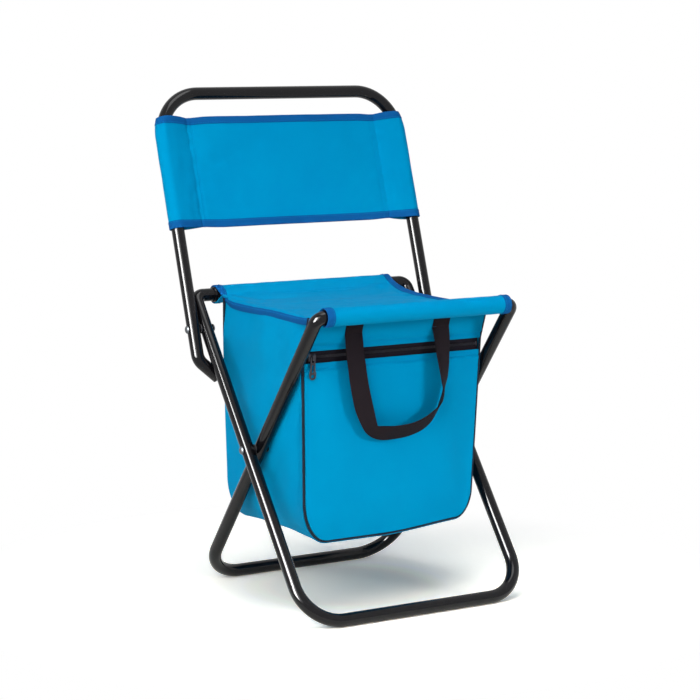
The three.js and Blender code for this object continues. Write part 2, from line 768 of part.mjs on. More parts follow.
// Foil and foam lining inside the bag
const liningInset = bagFabric + 2 * runGap;
const frontLiningDepth = seamDepth + coilDiameter + runGap;
liningPlate('bag_front_lining', bagFront, liningInset, zipBottom - tapeWidth, frontLiningDepth);
liningPlate('bag_back_lining', bagBack, liningInset, bagBackTop - liningThickness,
  -gussetGap - liningThickness);
bagBand('bag_side_lining', bagFabric + runGap, liningThickness,
  frontLiningDepth + liningThickness + runGap, gussetGap + liningThickness + runGap,
  rimDrop + liningThickness, liningSilver);

// Zip: two tapes behind the panel edges, a coil between them, stops, slider and pull
const coilRadius = coilDiameter / 2;
const coilDepth = coilRadius + runGap;
const tapeGap = coilRadius + runGap;
const zipHalfLength = bagHalfWidthAt(zipHeight) - panelInset - bagFabric;
const coilHalfLength = zipHalfLength - stopLength - 2 * runGap;
const sliderTravelHalf = coilHalfLength - sliderLength / 2;

function box(name, parent, size, centre, material) {
  addMesh(parent, name, new THREE.BoxGeometry(...size), material).position.set(...centre);
}

function zipTape(name, side) {
  const centre = zipHeight + side * (tapeGap + tapeWidth / 2);
  box(name, bagFront, [2 * zipHalfLength, tapeThickness, tapeWidth],
    [0, seamDepth + tapeThickness / 2, centre], webbingBlack);
}

zipTape('zip_tape_upper', 1);
zipTape('zip_tape_lower', -1);
const coilGeometry = new THREE.CylinderGeometry(coilRadius, coilRadius, 2 * coilHalfLength, coilSides);
coilGeometry.rotateZ(Math.PI / 2);
addMesh(bagFront, 'zip_coil', coilGeometry, webbingBlack).position.set(0, coilDepth, zipHeight);
for (const [sideName, side] of [['left', -1], ['right', 1]]) {
  box(`zip_stop_${sideName}`, bagFront, [stopLength, coilDiameter, coilDiameter],
    [side * (coilHalfLength + runGap + stopLength / 2), coilDepth, zipHeight], zincSteel);
}

// Slider: a plate with two flanges in front of the coil, and an arch that holds the pull
function zipSlider() {
  const back = -runGap;
  const plateFront = back - sliderPlate;
  const flangeInner = sliderHeight / 2 - archWidth / 2;
  const half = sliderHeight / 2;
  const channel = new THREE.Shape([
    new THREE.Vector2(plateFront, -half),
    new THREE.Vector2(back + sliderFlange, -half),
    new THREE.Vector2(back + sliderFlange, -flangeInner),
    new THREE.Vector2(back + runGap, -flangeInner),
    new THREE.Vector2(back + runGap, flangeInner),
    new THREE.Vector2(back + sliderFlange, flangeInner),
    new THREE.Vector2(back + sliderFlange, half),
    new THREE.Vector2(plateFront, half),
  ]);
  const body = new THREE.ExtrudeGeometry(channel, { depth: sliderLength, bevelEnabled: false });
  warp(body, (point) => point.set(point.z - sliderLength / 2, point.x, point.y));
  const archHalf = archSpan / 2;
  const archTop = plateFront - archRise;
  const foot = plateFront + sliderPlate / 2;
  const arch = new THREE.Shape([
    new THREE.Vector2(foot, -archHalf),
    new THREE.Vector2(archTop + archThickness, -archHalf),
    new THREE.Vector2(archTop, -archHalf + archThickness),
    new THREE.Vector2(archTop, archHalf - archThickness),
    new THREE.Vector2(archTop + archThickness, archHalf),
    new THREE.Vector2(foot, archHalf),
    new THREE.Vector2(foot, archHalf - archThickness),
    new THREE.Vector2(archTop + archThickness, archHalf - archThickness),
    new THREE.Vector2(archTop + archThickness, -archHalf + archThickness),
    new THREE.Vector2(foot, -archHalf + archThickness),
  ]);
  const loop = new THREE.ExtrudeGeometry(arch, { depth: archWidth, bevelEnabled: false });
  warp(loop, (point) => point.set(point.z - archWidth / 2, point.x, point.y));
  const geometry = toGeometry(toSolid(body).add(toSolid(loop)));
  addMesh(bagFront, 'zip_slider', geometry, zincSteel).position.set(-sliderTravelHalf, 0, zipHeight);
}

function zipPull() {
  const barTop = pullBarHeight / 2;
  const half = pullWidth / 2;
  const neck = pullWidth / 2 - pullThickness;
  const shape = new THREE.Shape([
    new THREE.Vector2(-neck, barTop),
    new THREE.Vector2(-neck, -pullLength / 2),
    new THREE.Vector2(-half, -pullLength + half),
    new THREE.Vector2(-half / 2, barTop - pullLength),
    new THREE.Vector2(half / 2, barTop - pullLength),
    new THREE.Vector2(half, -pullLength + half),
    new THREE.Vector2(neck, -pullLength / 2),
    new THREE.Vector2(neck, barTop),
  ]);
  const eyeTop = -pullBarHeight / 2;
  const eyeHalf = pullEyeWidth / 2;
  shape.holes.push(new THREE.Path([
    new THREE.Vector2(-eyeHalf, eyeTop),
    new THREE.Vector2(eyeHalf, eyeTop),
    new THREE.Vector2(eyeHalf, eyeTop - pullEyeHeight),
    new THREE.Vector2(-eyeHalf, eyeTop - pullEyeHeight),
  ]));
  const holeCentre = -pullLength + pullHoleHeight;
  shape.holes.push(new THREE.Path(ringOfPoints(1, pullHoleSides).map((unit) =>
    new THREE.Vector2(unit.x * pullHoleWidth / 2, holeCentre + unit.y * pullHoleHeight / 2))));
  const barDepth = -runGap - sliderPlate - (archRise - archThickness) / 2;
  addMesh(bagFront, 'zip_pull', plate(shape, pullThickness), zincSteel)
    .position.set(-sliderTravelHalf, barDepth - pullThickness / 2, zipHeight);
}

zipSlider();
zipPull();

// Webbing handle: sewn ends on the top strip and a free loop that hangs from them
function strap(name, points, widths) {
  const curve = new THREE.CatmullRomCurve3(points, false, 'centripetal');
  const count = widths.length - 1;
  const stations = widths.map((_, k) => curve.getPointAt(k / count));
  const tangents = widths.map((_, k) => curve.getTangentAt(k / count));
  const normals = widths.map((width, k) =>
    new THREE.Vector3().crossVectors(width, tangents[k]).normalize());
  const path = new StationPath(stations, tangents, normals);
  addMesh(bagFront, name, sweep(rectangleSection(webbingWidth, webbingThickness), path), webbingBlack);
}

// How far in front of the panel's plane a strap lies when it is sewn to the top strip
function sewnDepth(height) {
  return -webbingThickness / 2 - runGap - stripReach(height);
}

function handleAnchorStrap(name, side) {
  const x = side * handleHalfSpacing;
  const heights = [handleHinge + handleAnchor, handleHinge + webbingThickness / 2];
  strap(name, heights.map((height) => new THREE.Vector3(x, sewnDepth(height), height)), [xAxis, xAxis]);
}

// Places along the loop as shares of the half spacing, the stand-off and the drop, and of the lean
const handleRouteShares = [
  [-1, 0.37, 0, 0], [-1, 0.5, 0.09, 0.02], [-1, 0.62, 0.19, 0.04], [-0.98, 0.76, 0.315, 0.06],
  [-0.96, 0.86, 0.43, 0.08], [-0.92, 0.92, 0.55, 0.1], [-0.865, 0.95, 0.667, 0.14],
  [-0.81, 0.97, 0.768, 0.24], [-0.75, 0.98, 0.85, 0.5], [-0.66, 0.99, 0.925, 0.8],
  [-0.5, 1, 0.975, 0.98], [-0.29, 1, 0.995, 1], [-0.01, 1, 0.995, 1], [0.26, 1, 0.98, 1],
  [0.52, 1, 0.94, 1], [0.69, 0.99, 0.89, 1], [0.83, 0.97, 0.825, 1], [0.94, 0.95, 0.74, 1],
  [1.005, 0.93, 0.63, 1], [1.02, 0.9, 0.51, 0.95], [1.02, 0.82, 0.39, 0.85], [1.01, 0.7, 0.26, 0.65],
  [1.01, 0.56, 0.13, 0.4], [1, 0.37, 0, 0],
];

function carryHandle() {
  const points = handleRouteShares.map(([across, out, down]) => new THREE.Vector3(
    across * handleHalfSpacing, -out * handleStandOff, handleHinge - down * handleDrop));
  const curve = new THREE.CatmullRomCurve3(points, false, 'centripetal');
  const last = handleRouteShares.length - 1;
  const widths = Array.from({ length: handleSteps + 1 }, (_, k) => {
    const place = curve.getUtoTmapping(k / handleSteps) * last;
    const before = Math.min(Math.floor(place), last - 1);
    const leanShare = THREE.MathUtils.lerp(
      handleRouteShares[before][3], handleRouteShares[before + 1][3], place - before);
    const tangent = curve.getTangentAt(k / handleSteps);
    const inward = new THREE.Vector3(-tangent.z, 0, tangent.x).normalize();
    const lean = handleLean * leanShare;
    return inward.multiplyScalar(Math.cos(lean)).addScaledVector(yAxis, -Math.sin(lean));
  });
  strap('carry_handle', points, widths);
}

handleAnchorStrap('handle_end_left', -1);
handleAnchorStrap('handle_end_right', 1);
carryHandle();

// The part stands with the middle of its box over the origin
const bounds = new THREE.Box3().setFromObject(stool, true);
const centre = bounds.getCenter(new THREE.Vector3());
stool.position.set(-centre.x, -centre.y, -bounds.min.z);

const part = new THREE.Group();
part.add(stool);
export default part;
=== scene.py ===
import bpy
from bisect import bisect_right
from itertools import product
from math import acos, atan2, copysign, cos, degrees, exp, hypot, pi, radians, sin, sqrt, tan
from mathutils import Matrix, Vector, noise


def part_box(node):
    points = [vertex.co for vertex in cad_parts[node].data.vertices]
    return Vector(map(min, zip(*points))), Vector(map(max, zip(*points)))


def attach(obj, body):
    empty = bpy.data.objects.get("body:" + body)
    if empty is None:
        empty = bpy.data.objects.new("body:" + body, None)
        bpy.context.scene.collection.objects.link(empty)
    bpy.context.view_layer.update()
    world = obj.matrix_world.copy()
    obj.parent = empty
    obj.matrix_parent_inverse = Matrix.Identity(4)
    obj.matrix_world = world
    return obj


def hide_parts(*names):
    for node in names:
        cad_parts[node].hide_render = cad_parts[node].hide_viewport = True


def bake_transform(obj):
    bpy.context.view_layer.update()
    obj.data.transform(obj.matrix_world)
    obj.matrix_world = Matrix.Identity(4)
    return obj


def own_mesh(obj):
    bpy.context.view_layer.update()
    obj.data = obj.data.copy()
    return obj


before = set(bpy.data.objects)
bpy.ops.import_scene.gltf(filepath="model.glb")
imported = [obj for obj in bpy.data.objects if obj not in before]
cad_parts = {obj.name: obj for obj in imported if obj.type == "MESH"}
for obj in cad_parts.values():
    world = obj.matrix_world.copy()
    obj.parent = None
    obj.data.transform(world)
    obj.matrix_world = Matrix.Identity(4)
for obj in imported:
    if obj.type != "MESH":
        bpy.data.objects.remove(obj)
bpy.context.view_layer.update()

# Lengths are in millimetres. Each piece is made in its own frame and then placed.
legSizes = {"tube": 16, "wall": 1.2, "lean": 37.2, "below": 231.5, "above": 216.5, "tightBend": 10,
            "wideBend": 50, "outerHalf": 155, "outerEnd": 101, "innerHalf": 137.6, "innerEnd": 96.6,
            "backHalf": 173.0, "backPivot": 169.5, "backLean": 18.2}
bagSizes = {"floor": 85, "front": 73, "back": 110, "frontLean": 1.9, "stripLean": 17, "topHalf": 128.2,
            "bottomHalf": 120.5, "corners": ((34, 56), (24, 38)), "zipLow": 219.1, "zipHigh": 233.9}

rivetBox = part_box("crossing_rivet_left")
crossing = (rivetBox[0] + rivetBox[1]) / 2
crossHeight = crossing.z * 1000
lean, frontLean = radians(legSizes["lean"]), radians(bagSizes["frontLean"])


def turnedX(angle):
    return Matrix.Rotation(radians(angle), 4, "X")


def moved(x, y, z):
    return Matrix.Translation((x, y, z))


stoolFrame = moved(0, crossing.y, 0) @ Matrix.Scale(0.001, 4)
crossingFrame = stoolFrame @ moved(0, 0, crossHeight)
outerFrame = crossingFrame @ turnedX(-legSizes["lean"])
pivotFrame = outerFrame @ moved(0, 0, legSizes["backPivot"])
bagFrontFrame = stoolFrame @ moved(0, -bagSizes["front"], bagSizes["floor"]) @ turnedX(bagSizes["frontLean"])

# A home is the frame that a piece is placed in and the body that it rides on
outerLegs = (outerFrame, "outer_legs")
innerLegs = (crossingFrame @ turnedX(legSizes["lean"]), "inner_legs")
backrest = (pivotFrame @ turnedX(legSizes["lean"] - legSizes["backLean"]), "backrest")
bagFront = (bagFrontFrame, "bag_front")
bagBack = (stoolFrame @ moved(0, bagSizes["back"], bagSizes["floor"]), "bag_back")
bagSides = (stoolFrame @ moved(0, 0, bagSizes["floor"]), "bag")
seatHome = (stoolFrame, None)  # the seat rides on no body

# Camera
bpy.ops.object.select_all(action="DESELECT")
bpy.ops.object.camera_add(location=(-1.48363, -2.37292, 0.70037),
                          rotation=[radians(a) for a in (81.827, -0.263, -32.087)])
camera = bpy.context.object
camera.name = "viewCamera"
camera.data.lens = 117.54
camera.data.sensor_width = 36
camera.data.clip_end = 50
bpy.context.scene.camera = camera
bpy.context.scene.view_settings.view_transform = "Standard"
print("camera placed")


# Materials
def fromHex(code):
    parts = [int(code[k:k + 2], 16) / 255 for k in (1, 3, 5)]
    return [p / 12.92 if p <= 0.04045 else ((p + 0.055) / 1.055) ** 2.4 for p in parts] + [1]


def addNode(tree, kind, inputs=None, into=None, **settings):
    # a socket among the inputs is linked, any other value is set, and the first output goes into a socket
    node = tree.nodes.new("ShaderNode" + kind)
    for key, value in settings.items():
        setattr(node, key, value)
    for key, value in (inputs or {}).items():
        if isinstance(value, bpy.types.NodeSocket):
            tree.links.new(value, node.inputs[key])
        else:
            node.inputs[key].default_value = value
    if into is not None:
        tree.links.new(node.outputs[0], into)
    return node


def newMaterial(name, fixed):
    material = bpy.data.materials.new(name)
    material.use_nodes = True
    tree = material.node_tree
    shader = tree.nodes["Principled BSDF"]
    for key, value in fixed.items():
        shader.inputs[key].default_value = value
    return material, tree, shader


def clouded(tree, shader, place, light, dark, scale, rough, detail=3):
    # soft clouds of two tones, which also move the roughness
    cloud = addNode(tree, "TexNoise", {"Vector": place, "Scale": scale, "Detail": detail}).outputs["Fac"]
    tone = addNode(tree, "Mix", {"Factor": cloud, "A": fromHex(dark), "B": fromHex(light)},
                   data_type="RGBA").outputs["Result"]
    addNode(tree, "MapRange", {"Value": cloud, "To Min": rough[0], "To Max": rough[1]},
            shader.inputs["Roughness"])
    return cloud, tone


def wovenMaterial(name, light, dark, warp, weft, roughness, sheen, bump=0.5):
    # warp and weft are the thread spacings in millimetres
    tint = fromHex(light)
    material, tree, shader = newMaterial(name, {"Specular IOR Level": 0.03, "Specular Tint": tint,
                                                "Sheen Weight": sheen, "Sheen Roughness": 0.4, "Sheen Tint": tint})
    place = addNode(tree, "TexCoord").outputs
    _, tone = clouded(tree, shader, place["Object"], light, dark, 14, (roughness - 0.06, roughness + 0.06))
    rows = []
    for pitch, way in ((warp, "X"), (weft, "Y")):
        scale = pi / 10 / (pitch * 0.001)  # a wave of scale 1 repeats every pi / 10
        rows.append(addNode(tree, "TexWave", {"Vector": place["UV"], "Scale": scale}, bands_direction=way))
    weave = addNode(tree, "Math", {k: row.outputs["Fac"] for k, row in enumerate(rows)}).outputs[0]
    darker = addNode(tree, "MapRange", {"Value": weave, "To Min": 0.0, "To Max": 0.2})
    shade = addNode(tree, "Mix", {"Factor": darker.outputs["Result"], "A": tone, "B": fromHex("#b4b4b4")},
                    data_type="RGBA", blend_type="MULTIPLY")
    tree.links.new(shade.outputs["Result"], shader.inputs["Base Color"])
    addNode(tree, "Bump", {"Height": weave, "Strength": bump, "Distance": 0.00012}, shader.inputs["Normal"])
    return material


def hardMaterial(name, fixed, light, dark, scale, rough, relief, grain=None, detail=3):
    # relief is the bump's strength and distance; without a grain the clouds are the bump
    material, tree, shader = newMaterial(name, fixed)
    place = addNode(tree, "TexCoord").outputs["Object"]
    height, tone = clouded(tree, shader, place, light, dark, scale, rough, detail)
    tree.links.new(tone, shader.inputs["Base Color"])
    if grain:
        kind, output, settings = grain
        height = addNode(tree, kind, {"Vector": place, **settings}).outputs[output]
    addNode(tree, "Bump", {"Height": height, "Strength": relief[0], "Distance": relief[1]},
            shader.inputs["Normal"])
    return material


# Each finish is a material and its slot.
# 600-denier polyester, PU backed, in a bright blue, with threads about 0.55 mm apart
blueCloth = (wovenMaterial("blue polyester oxford", "#0094c4", "#0089bc", 0.55, 0.6, 0.62, 0.03), "blue_cloth")
# the narrower, deeper blue tape that edges the band and the seat
blueBinding = (wovenMaterial("deep blue grosgrain tape", "#1460a1", "#105492", 0.8, 0.4, 0.66, 0.03),
               "blue_binding")
# heavy polypropylene webbing with ribs across it
blackWebbing = (wovenMaterial("black polypropylene webbing", "#2b2528", "#211c20", 1.5, 0.9, 0.6, 0.1, 0.9),
                "black_webbing")
# knitted zip tape
zipTapeBlack = (wovenMaterial("black zip tape", "#26232a", "#1c1a20", 0.9, 0.5, 0.7, 0.1, 0.8), "black_webbing")
# piping cord wrapped in black bias tape
blackPiping = (wovenMaterial("black piping tape", "#2e3440", "#20242e", 0.5, 0.5, 0.6, 0.1), "black_webbing")
# thread in the cloth's own blue, and black thread for the webbing
blueThread = (wovenMaterial("blue polyester thread", "#0a8ccc", "#0879b8", 0.3, 0.3, 0.55, 0.1), "blue_binding")
blackThread = (wovenMaterial("black polyester thread", "#211e24", "#151318", 0.3, 0.3, 0.55, 0.2), "black_webbing")

orangePeel = ("TexNoise", "Fac", {"Scale": 900, "Detail": 2})
mouldGrain = ("TexNoise", "Fac", {"Scale": 2500, "Detail": 2})
foilFacets = ("TexVoronoi", "Distance", {"Scale": 130})
# gloss black powder coat on steel, with faint orange peel and rubbed patches
blackEnamel = (hardMaterial("gloss black enamel", {"Specular IOR Level": 0.22}, "#100f12", "#09080a", 30,
                            (0.06, 0.13), (0.08, 0.0002), orangePeel), "black_enamel")
# zinc plate gone dull, and the zip's dark metal, both finely mottled
zincSteel = (hardMaterial("dull zinc plate", {"Metallic": 1.0}, "#5c5f62", "#3e4144", 220, (0.34, 0.52),
                          (0.15, 0.0001), detail=6), "zinc_rivet")
gunMetal = (hardMaterial("black nickel zip metal", {"Metallic": 1.0}, "#55555b", "#2f3035", 300, (0.22, 0.4),
                         (0.15, 0.0001), detail=6), "dark_metal")
# moulded plastic with a fine grain, and nylon with little gloss
blackPlastic = (hardMaterial("black moulded plastic", {"Specular IOR Level": 0.4}, "#242327", "#18171a", 60,
                             (0.42, 0.58), (0.2, 0.0001), mouldGrain), "black_plastic")
blackNylon = (hardMaterial("black nylon zip teeth", {"Specular IOR Level": 0.12}, "#2e2c33", "#201f25", 60,
                           (0.47, 0.63), (0.2, 0.0001), mouldGrain), "black_webbing")
# aluminised lining on foam, crushed into small facets
foilLining = (hardMaterial("crinkled foil lining", {"Metallic": 0.85}, "#d3d7db", "#aeb3b9", 45, (0.25, 0.42),
                           (0.5, 0.0006), foilFacets), "foil_lining")
print("materials mixed")


# Making and finishing pieces
def deselect():
    if bpy.context.object and bpy.context.object.mode != "OBJECT":
        bpy.ops.object.mode_set(mode="OBJECT")
    bpy.ops.object.select_all(action="DESELECT")


def pick(*pieces):
    deselect()
    for piece in pieces:
        piece.select_set(True)
    bpy.context.view_layer.objects.active = pieces[0]


def editAll():
    bpy.ops.object.mode_set(mode="EDIT")
    bpy.ops.mesh.select_all(action="SELECT")


def tidied():
    # leaves edit mode with doubles merged and faces pointing out
    bpy.ops.mesh.select_all(action="SELECT")
    bpy.ops.mesh.remove_doubles(threshold=0.001)
    bpy.ops.mesh.normals_make_consistent(inside=False)
    bpy.ops.object.mode_set(mode="OBJECT")
    return bpy.context.object


def applied(piece, kind, **settings):
    pick(piece)
    modifier = piece.modifiers.new(kind.lower(), kind)
    for key, value in settings.items():
        setattr(modifier, key, value)
    bpy.ops.object.modifier_apply(modifier=modifier.name)


def joined(pieces):
    pick(*pieces)
    bpy.ops.object.join()
    return bpy.context.object


def repeated(pattern, places):
    copies = []
    for place in places:
        mesh = pattern.data.copy()
        mesh.transform(place)
        copies.append(bpy.data.objects.new(pattern.name, mesh))
        bpy.context.collection.objects.link(copies[-1])
    bpy.data.objects.remove(pattern)
    return joined(copies)


def finishPiece(piece, name, home, finish, node="", angle=35):
    pick(piece)
    bpy.ops.object.transform_apply(location=True, rotation=True, scale=True)
    piece.data.transform(home[0])
    piece.name = piece.data.name = name
    piece.data.materials.clear()
    piece.data.materials.append(finish[0])
    bpy.ops.object.shade_smooth_by_angle(angle=radians(angle))
    if home[1]:
        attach(piece, home[1])
    if node:
        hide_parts(node)
    return piece


# Bent tube: a ring is pushed along its straights and spun round its bends, in its own XZ plane
tubeDetail = {"sides": 40, "bendDegrees": 5}


def bentTube(start, heading, steps, radius, wall):
    # each step is a length and 0, or a bend's radius and its angle
    deselect()
    here, way = Vector((start[0], 0, start[1])), Vector((sin(heading), 0, cos(heading)))
    bpy.ops.mesh.primitive_circle_add(vertices=tubeDetail["sides"], radius=radius, location=here,
                                      rotation=(0, heading, 0))
    editAll()
    for size, angle in steps:
        if not angle:
            bpy.ops.mesh.extrude_region_move(TRANSFORM_OT_translate={"value": way * size})
            here = here + way * size
            continue
        sign = copysign(1, angle)
        centre = here + Vector((way.z, 0, -way.x)) * sign * size
        parts = max(2, round(abs(degrees(angle)) / tubeDetail["bendDegrees"]))
        bpy.ops.mesh.spin(steps=parts, angle=abs(angle), center=centre, axis=(0, -sign, 0))
        turned = Matrix.Rotation(angle, 3, "Y")
        here, way = centre + turned @ (here - centre), turned @ way
    tube = tidied()
    applied(tube, "SOLIDIFY", thickness=wall, offset=-1)
    return tube


tubeRadius = legSizes["tube"] / 2


def legLoop(name, home, half, endX, node):
    tight, wide, quarter = legSizes["tightBend"], legSizes["wideBend"], -pi / 2
    stub, leg = (half - endX - tight, 0), (legSizes["below"] + legSizes["above"] - tight - wide, 0)
    steps = [stub, (tight, quarter), leg, (wide, quarter), (2 * (half - wide), 0), (wide, quarter), leg,
             (tight, quarter), stub]
    tube = bentTube((-endX, legSizes["above"]), quarter, steps, tubeRadius, legSizes["wall"])
    finishPiece(tube, name, home, blackEnamel, node)


legLoop("outerLegTube", outerLegs, legSizes["outerHalf"], legSizes["outerEnd"], "outer_leg_frame")
legLoop("innerLegTube", innerLegs, legSizes["innerHalf"], legSizes["innerEnd"], "inner_leg_frame")

backSizes = {"top": 298, "bend": 56, "hookCorner": 38.6, "hook": 31.6, "hookTurn": radians(46), "hookBend": 18}
hookX = legSizes["backHalf"] - backSizes["hook"] * sin(backSizes["hookTurn"])
hookZ = -backSizes["hookCorner"] - backSizes["hook"] * cos(backSizes["hookTurn"])


def backLoop():
    bend, turn = backSizes["bend"], backSizes["hookTurn"]
    spent = backSizes["hookBend"] * tan(turn / 2)
    post = (backSizes["top"] - bend + backSizes["hookCorner"] - spent, 0)
    hookRun, hookBend, topBend = (backSizes["hook"] - spent, 0), (backSizes["hookBend"], turn), (bend, pi / 2)
    steps = [hookRun, hookBend, post, topBend, (2 * (legSizes["backHalf"] - bend), 0), topBend, post, hookBend,
             hookRun]
    tube = bentTube((-hookX, hookZ), -turn, steps, tubeRadius, legSizes["wall"])
    finishPiece(tube, "backrestTube", backrest, blackEnamel, "backrest_frame")


backLoop()

railSizes = {"radius": 9.5, "wall": 1.1, "rearHalf": 131, "frontHalf": 126.6, "edge": 0.3}
for label, (place, body) in (("rear", outerLegs), ("front", innerLegs)):
    half = railSizes[label + "Half"]
    rail = bentTube((-half, 0), pi / 2, [(2 * half, 0)], railSizes["radius"], railSizes["wall"])
    applied(rail, "BEVEL", width=railSizes["edge"], segments=2, limit_method="ANGLE")
    finishPiece(rail, label + "Rail", (place @ moved(0, 0, legSizes["above"]), body), blackEnamel,
                label + "_seat_rail")
print("tubes bent")

# Turned pieces, whose profiles are lists of (place along X, radius)
rivetSizes = {"sides": 28, "head": 5, "shank": 2.5, "dome": 2.6, "gap": 0.3, "domeDegrees": (12, 28, 45, 62, 78)}
washerSizes = {"radius": 6, "crossing": 0.8, "backrest": 1.4}
plugProfile = [(-12, 5.6), (-11.5, 6), (0.3, 6), (0.35, 7.9), (1.1, 8), (1.6, 7.5), (1.9, 6.4)]


def turnedPiece(profile):
    # a filled ring is pushed along X and resized at each step of its profile
    deselect()
    reach, radius = profile[0]
    bpy.ops.mesh.primitive_circle_add(vertices=rivetSizes["sides"], radius=radius, fill_type="NGON",
                                      location=(reach, 0, 0), rotation=(0, pi / 2, 0))
    editAll()
    for nextReach, nextRadius in profile[1:]:
        bpy.ops.mesh.extrude_region_move(TRANSFORM_OT_translate={"value": (nextReach - reach, 0, 0)})
        share = nextRadius / radius
        bpy.ops.transform.resize(value=(1, share, share), center_override=(nextReach, 0, 0))
        reach, radius = nextReach, nextRadius
    return tidied()


def rivetProfile(inner, outer):
    steps = [radians(a) for a in rivetSizes["domeDegrees"]]
    head, dome, shank = rivetSizes["head"], rivetSizes["dome"], rivetSizes["shank"]
    rising = [(inner - dome * cos(a), head * sin(a)) for a in steps]
    falling = [(outer + dome * cos(a), head * sin(a)) for a in reversed(steps)]
    rim = [(inner - 0.2, head), (inner, head - 0.2), (inner + 0.05, shank), (outer - 0.05, shank),
           (outer, head - 0.2), (outer + 0.2, head)]
    return rising + rim + falling


outerFace, innerFace = legSizes["outerHalf"] + tubeRadius, legSizes["outerHalf"] - tubeRadius
gap = rivetSizes["gap"]
for side, mirrored in (("left", Matrix.Rotation(pi, 4, "Z")), ("right", Matrix.Identity(4))):
    for label, place, inner, outer in (
            ("crossing", outerFrame, legSizes["innerHalf"] - tubeRadius - gap, outerFace + gap),
            ("backrest", pivotFrame, innerFace - gap, legSizes["backHalf"] + tubeRadius + gap)):
        finishPiece(turnedPiece(rivetProfile(inner, outer)), side + label.capitalize() + "Rivet",
                    (place @ mirrored, "outer_legs"), zincSteel, label + "_rivet_" + side, 50)
    for label, place, low in (("crossing", outerFrame, innerFace - gap - washerSizes["crossing"]),
                              ("backrest", pivotFrame, outerFace + gap)):
        high, radius = low + washerSizes[label], washerSizes["radius"]
        ring = turnedPiece([(low, radius - 0.3), (low + 0.15, radius), (high - 0.15, radius), (high, radius - 0.3)])
        finishPiece(ring, side + label.capitalize() + "Washer", (place @ mirrored, "outer_legs"), blackPlastic,
                    label + "_washer_" + side)
    # the plug closes the backrest's hooked end
    hookWay = Matrix.Rotation(pi / 2 + backSizes["hookTurn"], 4, "Y")
    finishPiece(turnedPiece(plugProfile), side + "BackrestPlug",
                (backrest[0] @ mirrored @ moved(hookX, 0, hookZ) @ hookWay, "backrest"), blackPlastic,
                "backrest_plug_" + side)
print("fixings made")


# Cloth: a grid is laid so that place(u, v) gives each corner, and its UVs are in metres of cloth
def laidCloth(across, along, place, size, thick=0.0, welded=False, inward=False, offset=0.0):
    deselect()
    bpy.ops.mesh.primitive_grid_add(x_subdivisions=across, y_subdivisions=along, size=2)
    cloth = bpy.context.object
    for corner in cloth.data.vertices:
        corner.co = place((corner.co.x + 1) / 2, (corner.co.y + 1) / 2)
    for loop in cloth.data.uv_layers.active.data:
        loop.uv = (loop.uv.x * size[0] * 0.001, loop.uv.y * size[1] * 0.001)
    editAll()
    if welded:
        bpy.ops.mesh.remove_doubles(threshold=0.001)
    if inward:
        bpy.ops.mesh.flip_normals()
    bpy.ops.object.mode_set(mode="OBJECT")
    if thick:
        applied(cloth, "SOLIDIFY", thickness=thick, offset=offset)
    return cloth


def blend(a, b, share):
    return a + (b - a) * share


def eased(value, low, high):
    share = min(max((value - low) / (high - low), 0), 1)
    return share * share * (3 - 2 * share)


def hump(value, centre, width):
    return exp(-((value - centre) / width) ** 2)


def wobble(a, b, seed):
    return noise.noise(Vector((a, b, seed)))


def spaced(a, b, parts):
    return [blend(a, b, k / parts) for k in range(parts + 1)]


def waves(a, b, *parts):
    # each part is a soft wave's height, its two lengths and its seed
    return sum(high * wobble(a / wide, b / tall, seed) for high, wide, tall, seed in parts)


def ridges(value, parts):
    # each part is a ridge's height, or a groove's depth below 0, its centre and its width
    return sum(high * hump(value, centre, width) for high, centre, width in parts)


class Route:
    # A line of points that is read by the share of its length
    def __init__(self, points):
        self.points = [Vector(point) for point in points]
        self.lengths = [0.0]
        for before, after in zip(self.points, self.points[1:]):
            self.lengths.append(self.lengths[-1] + (after - before).length)
        self.length = self.lengths[-1]

    def at(self, share):
        target = min(max(share, 0), 1) * self.length
        high = bisect_right(self.lengths, target, 1, len(self.lengths) - 1)
        before, span = self.lengths[high - 1], max(self.lengths[high] - self.lengths[high - 1], 1e-9)
        return self.points[high - 1].lerp(self.points[high], (target - before) / span)

    def way(self, share, step=0.002):
        return (self.at(share + step) - self.at(share - step)).normalized()


# Stitches: one short thread is copied along a line, proud of the cloth
stitchSizes = {"long": 2.5, "wide": 0.585, "thick": 0.45, "pitch": 3.4, "proud": 0.12}


def oneStitch():
    deselect()
    bpy.ops.mesh.primitive_uv_sphere_add(segments=6, ring_count=4, radius=0.5, rotation=(0, pi / 2, 0),
                                         scale=[stitchSizes[key] for key in ("thick", "wide", "long")])
    bpy.ops.object.transform_apply()
    return bpy.context.object


def sewn(name, lines, home, finish):
    # each line is a list of (point, outward normal)
    places = []
    for line in lines:
        route = Route([point for point, _ in line])
        count = max(1, int(route.length / stitchSizes["pitch"]))
        for k in range(count):
            share = (k + 0.5) / count
            along = route.way(share, 0.4 / count)
            normal = Vector(line[min(round(share * (len(line) - 1)), len(line) - 1)][1]).normalized()
            across = normal.cross(along).normalized()
            turned = Matrix((along, across, along.cross(across))).transposed().to_4x4()
            places.append(Matrix.Translation(route.at(share) + normal * stitchSizes["proud"]) @ turned)
    return finishPiece(repeated(oneStitch(), places), name, home, finish, angle=80)


def finishSheet(cloth, name, home, finish, node, flat, restsOn, held="hung", folds=False):
    finishPiece(cloth, name, home, finish, node)
    if folds:
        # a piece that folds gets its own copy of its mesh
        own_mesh(cloth)


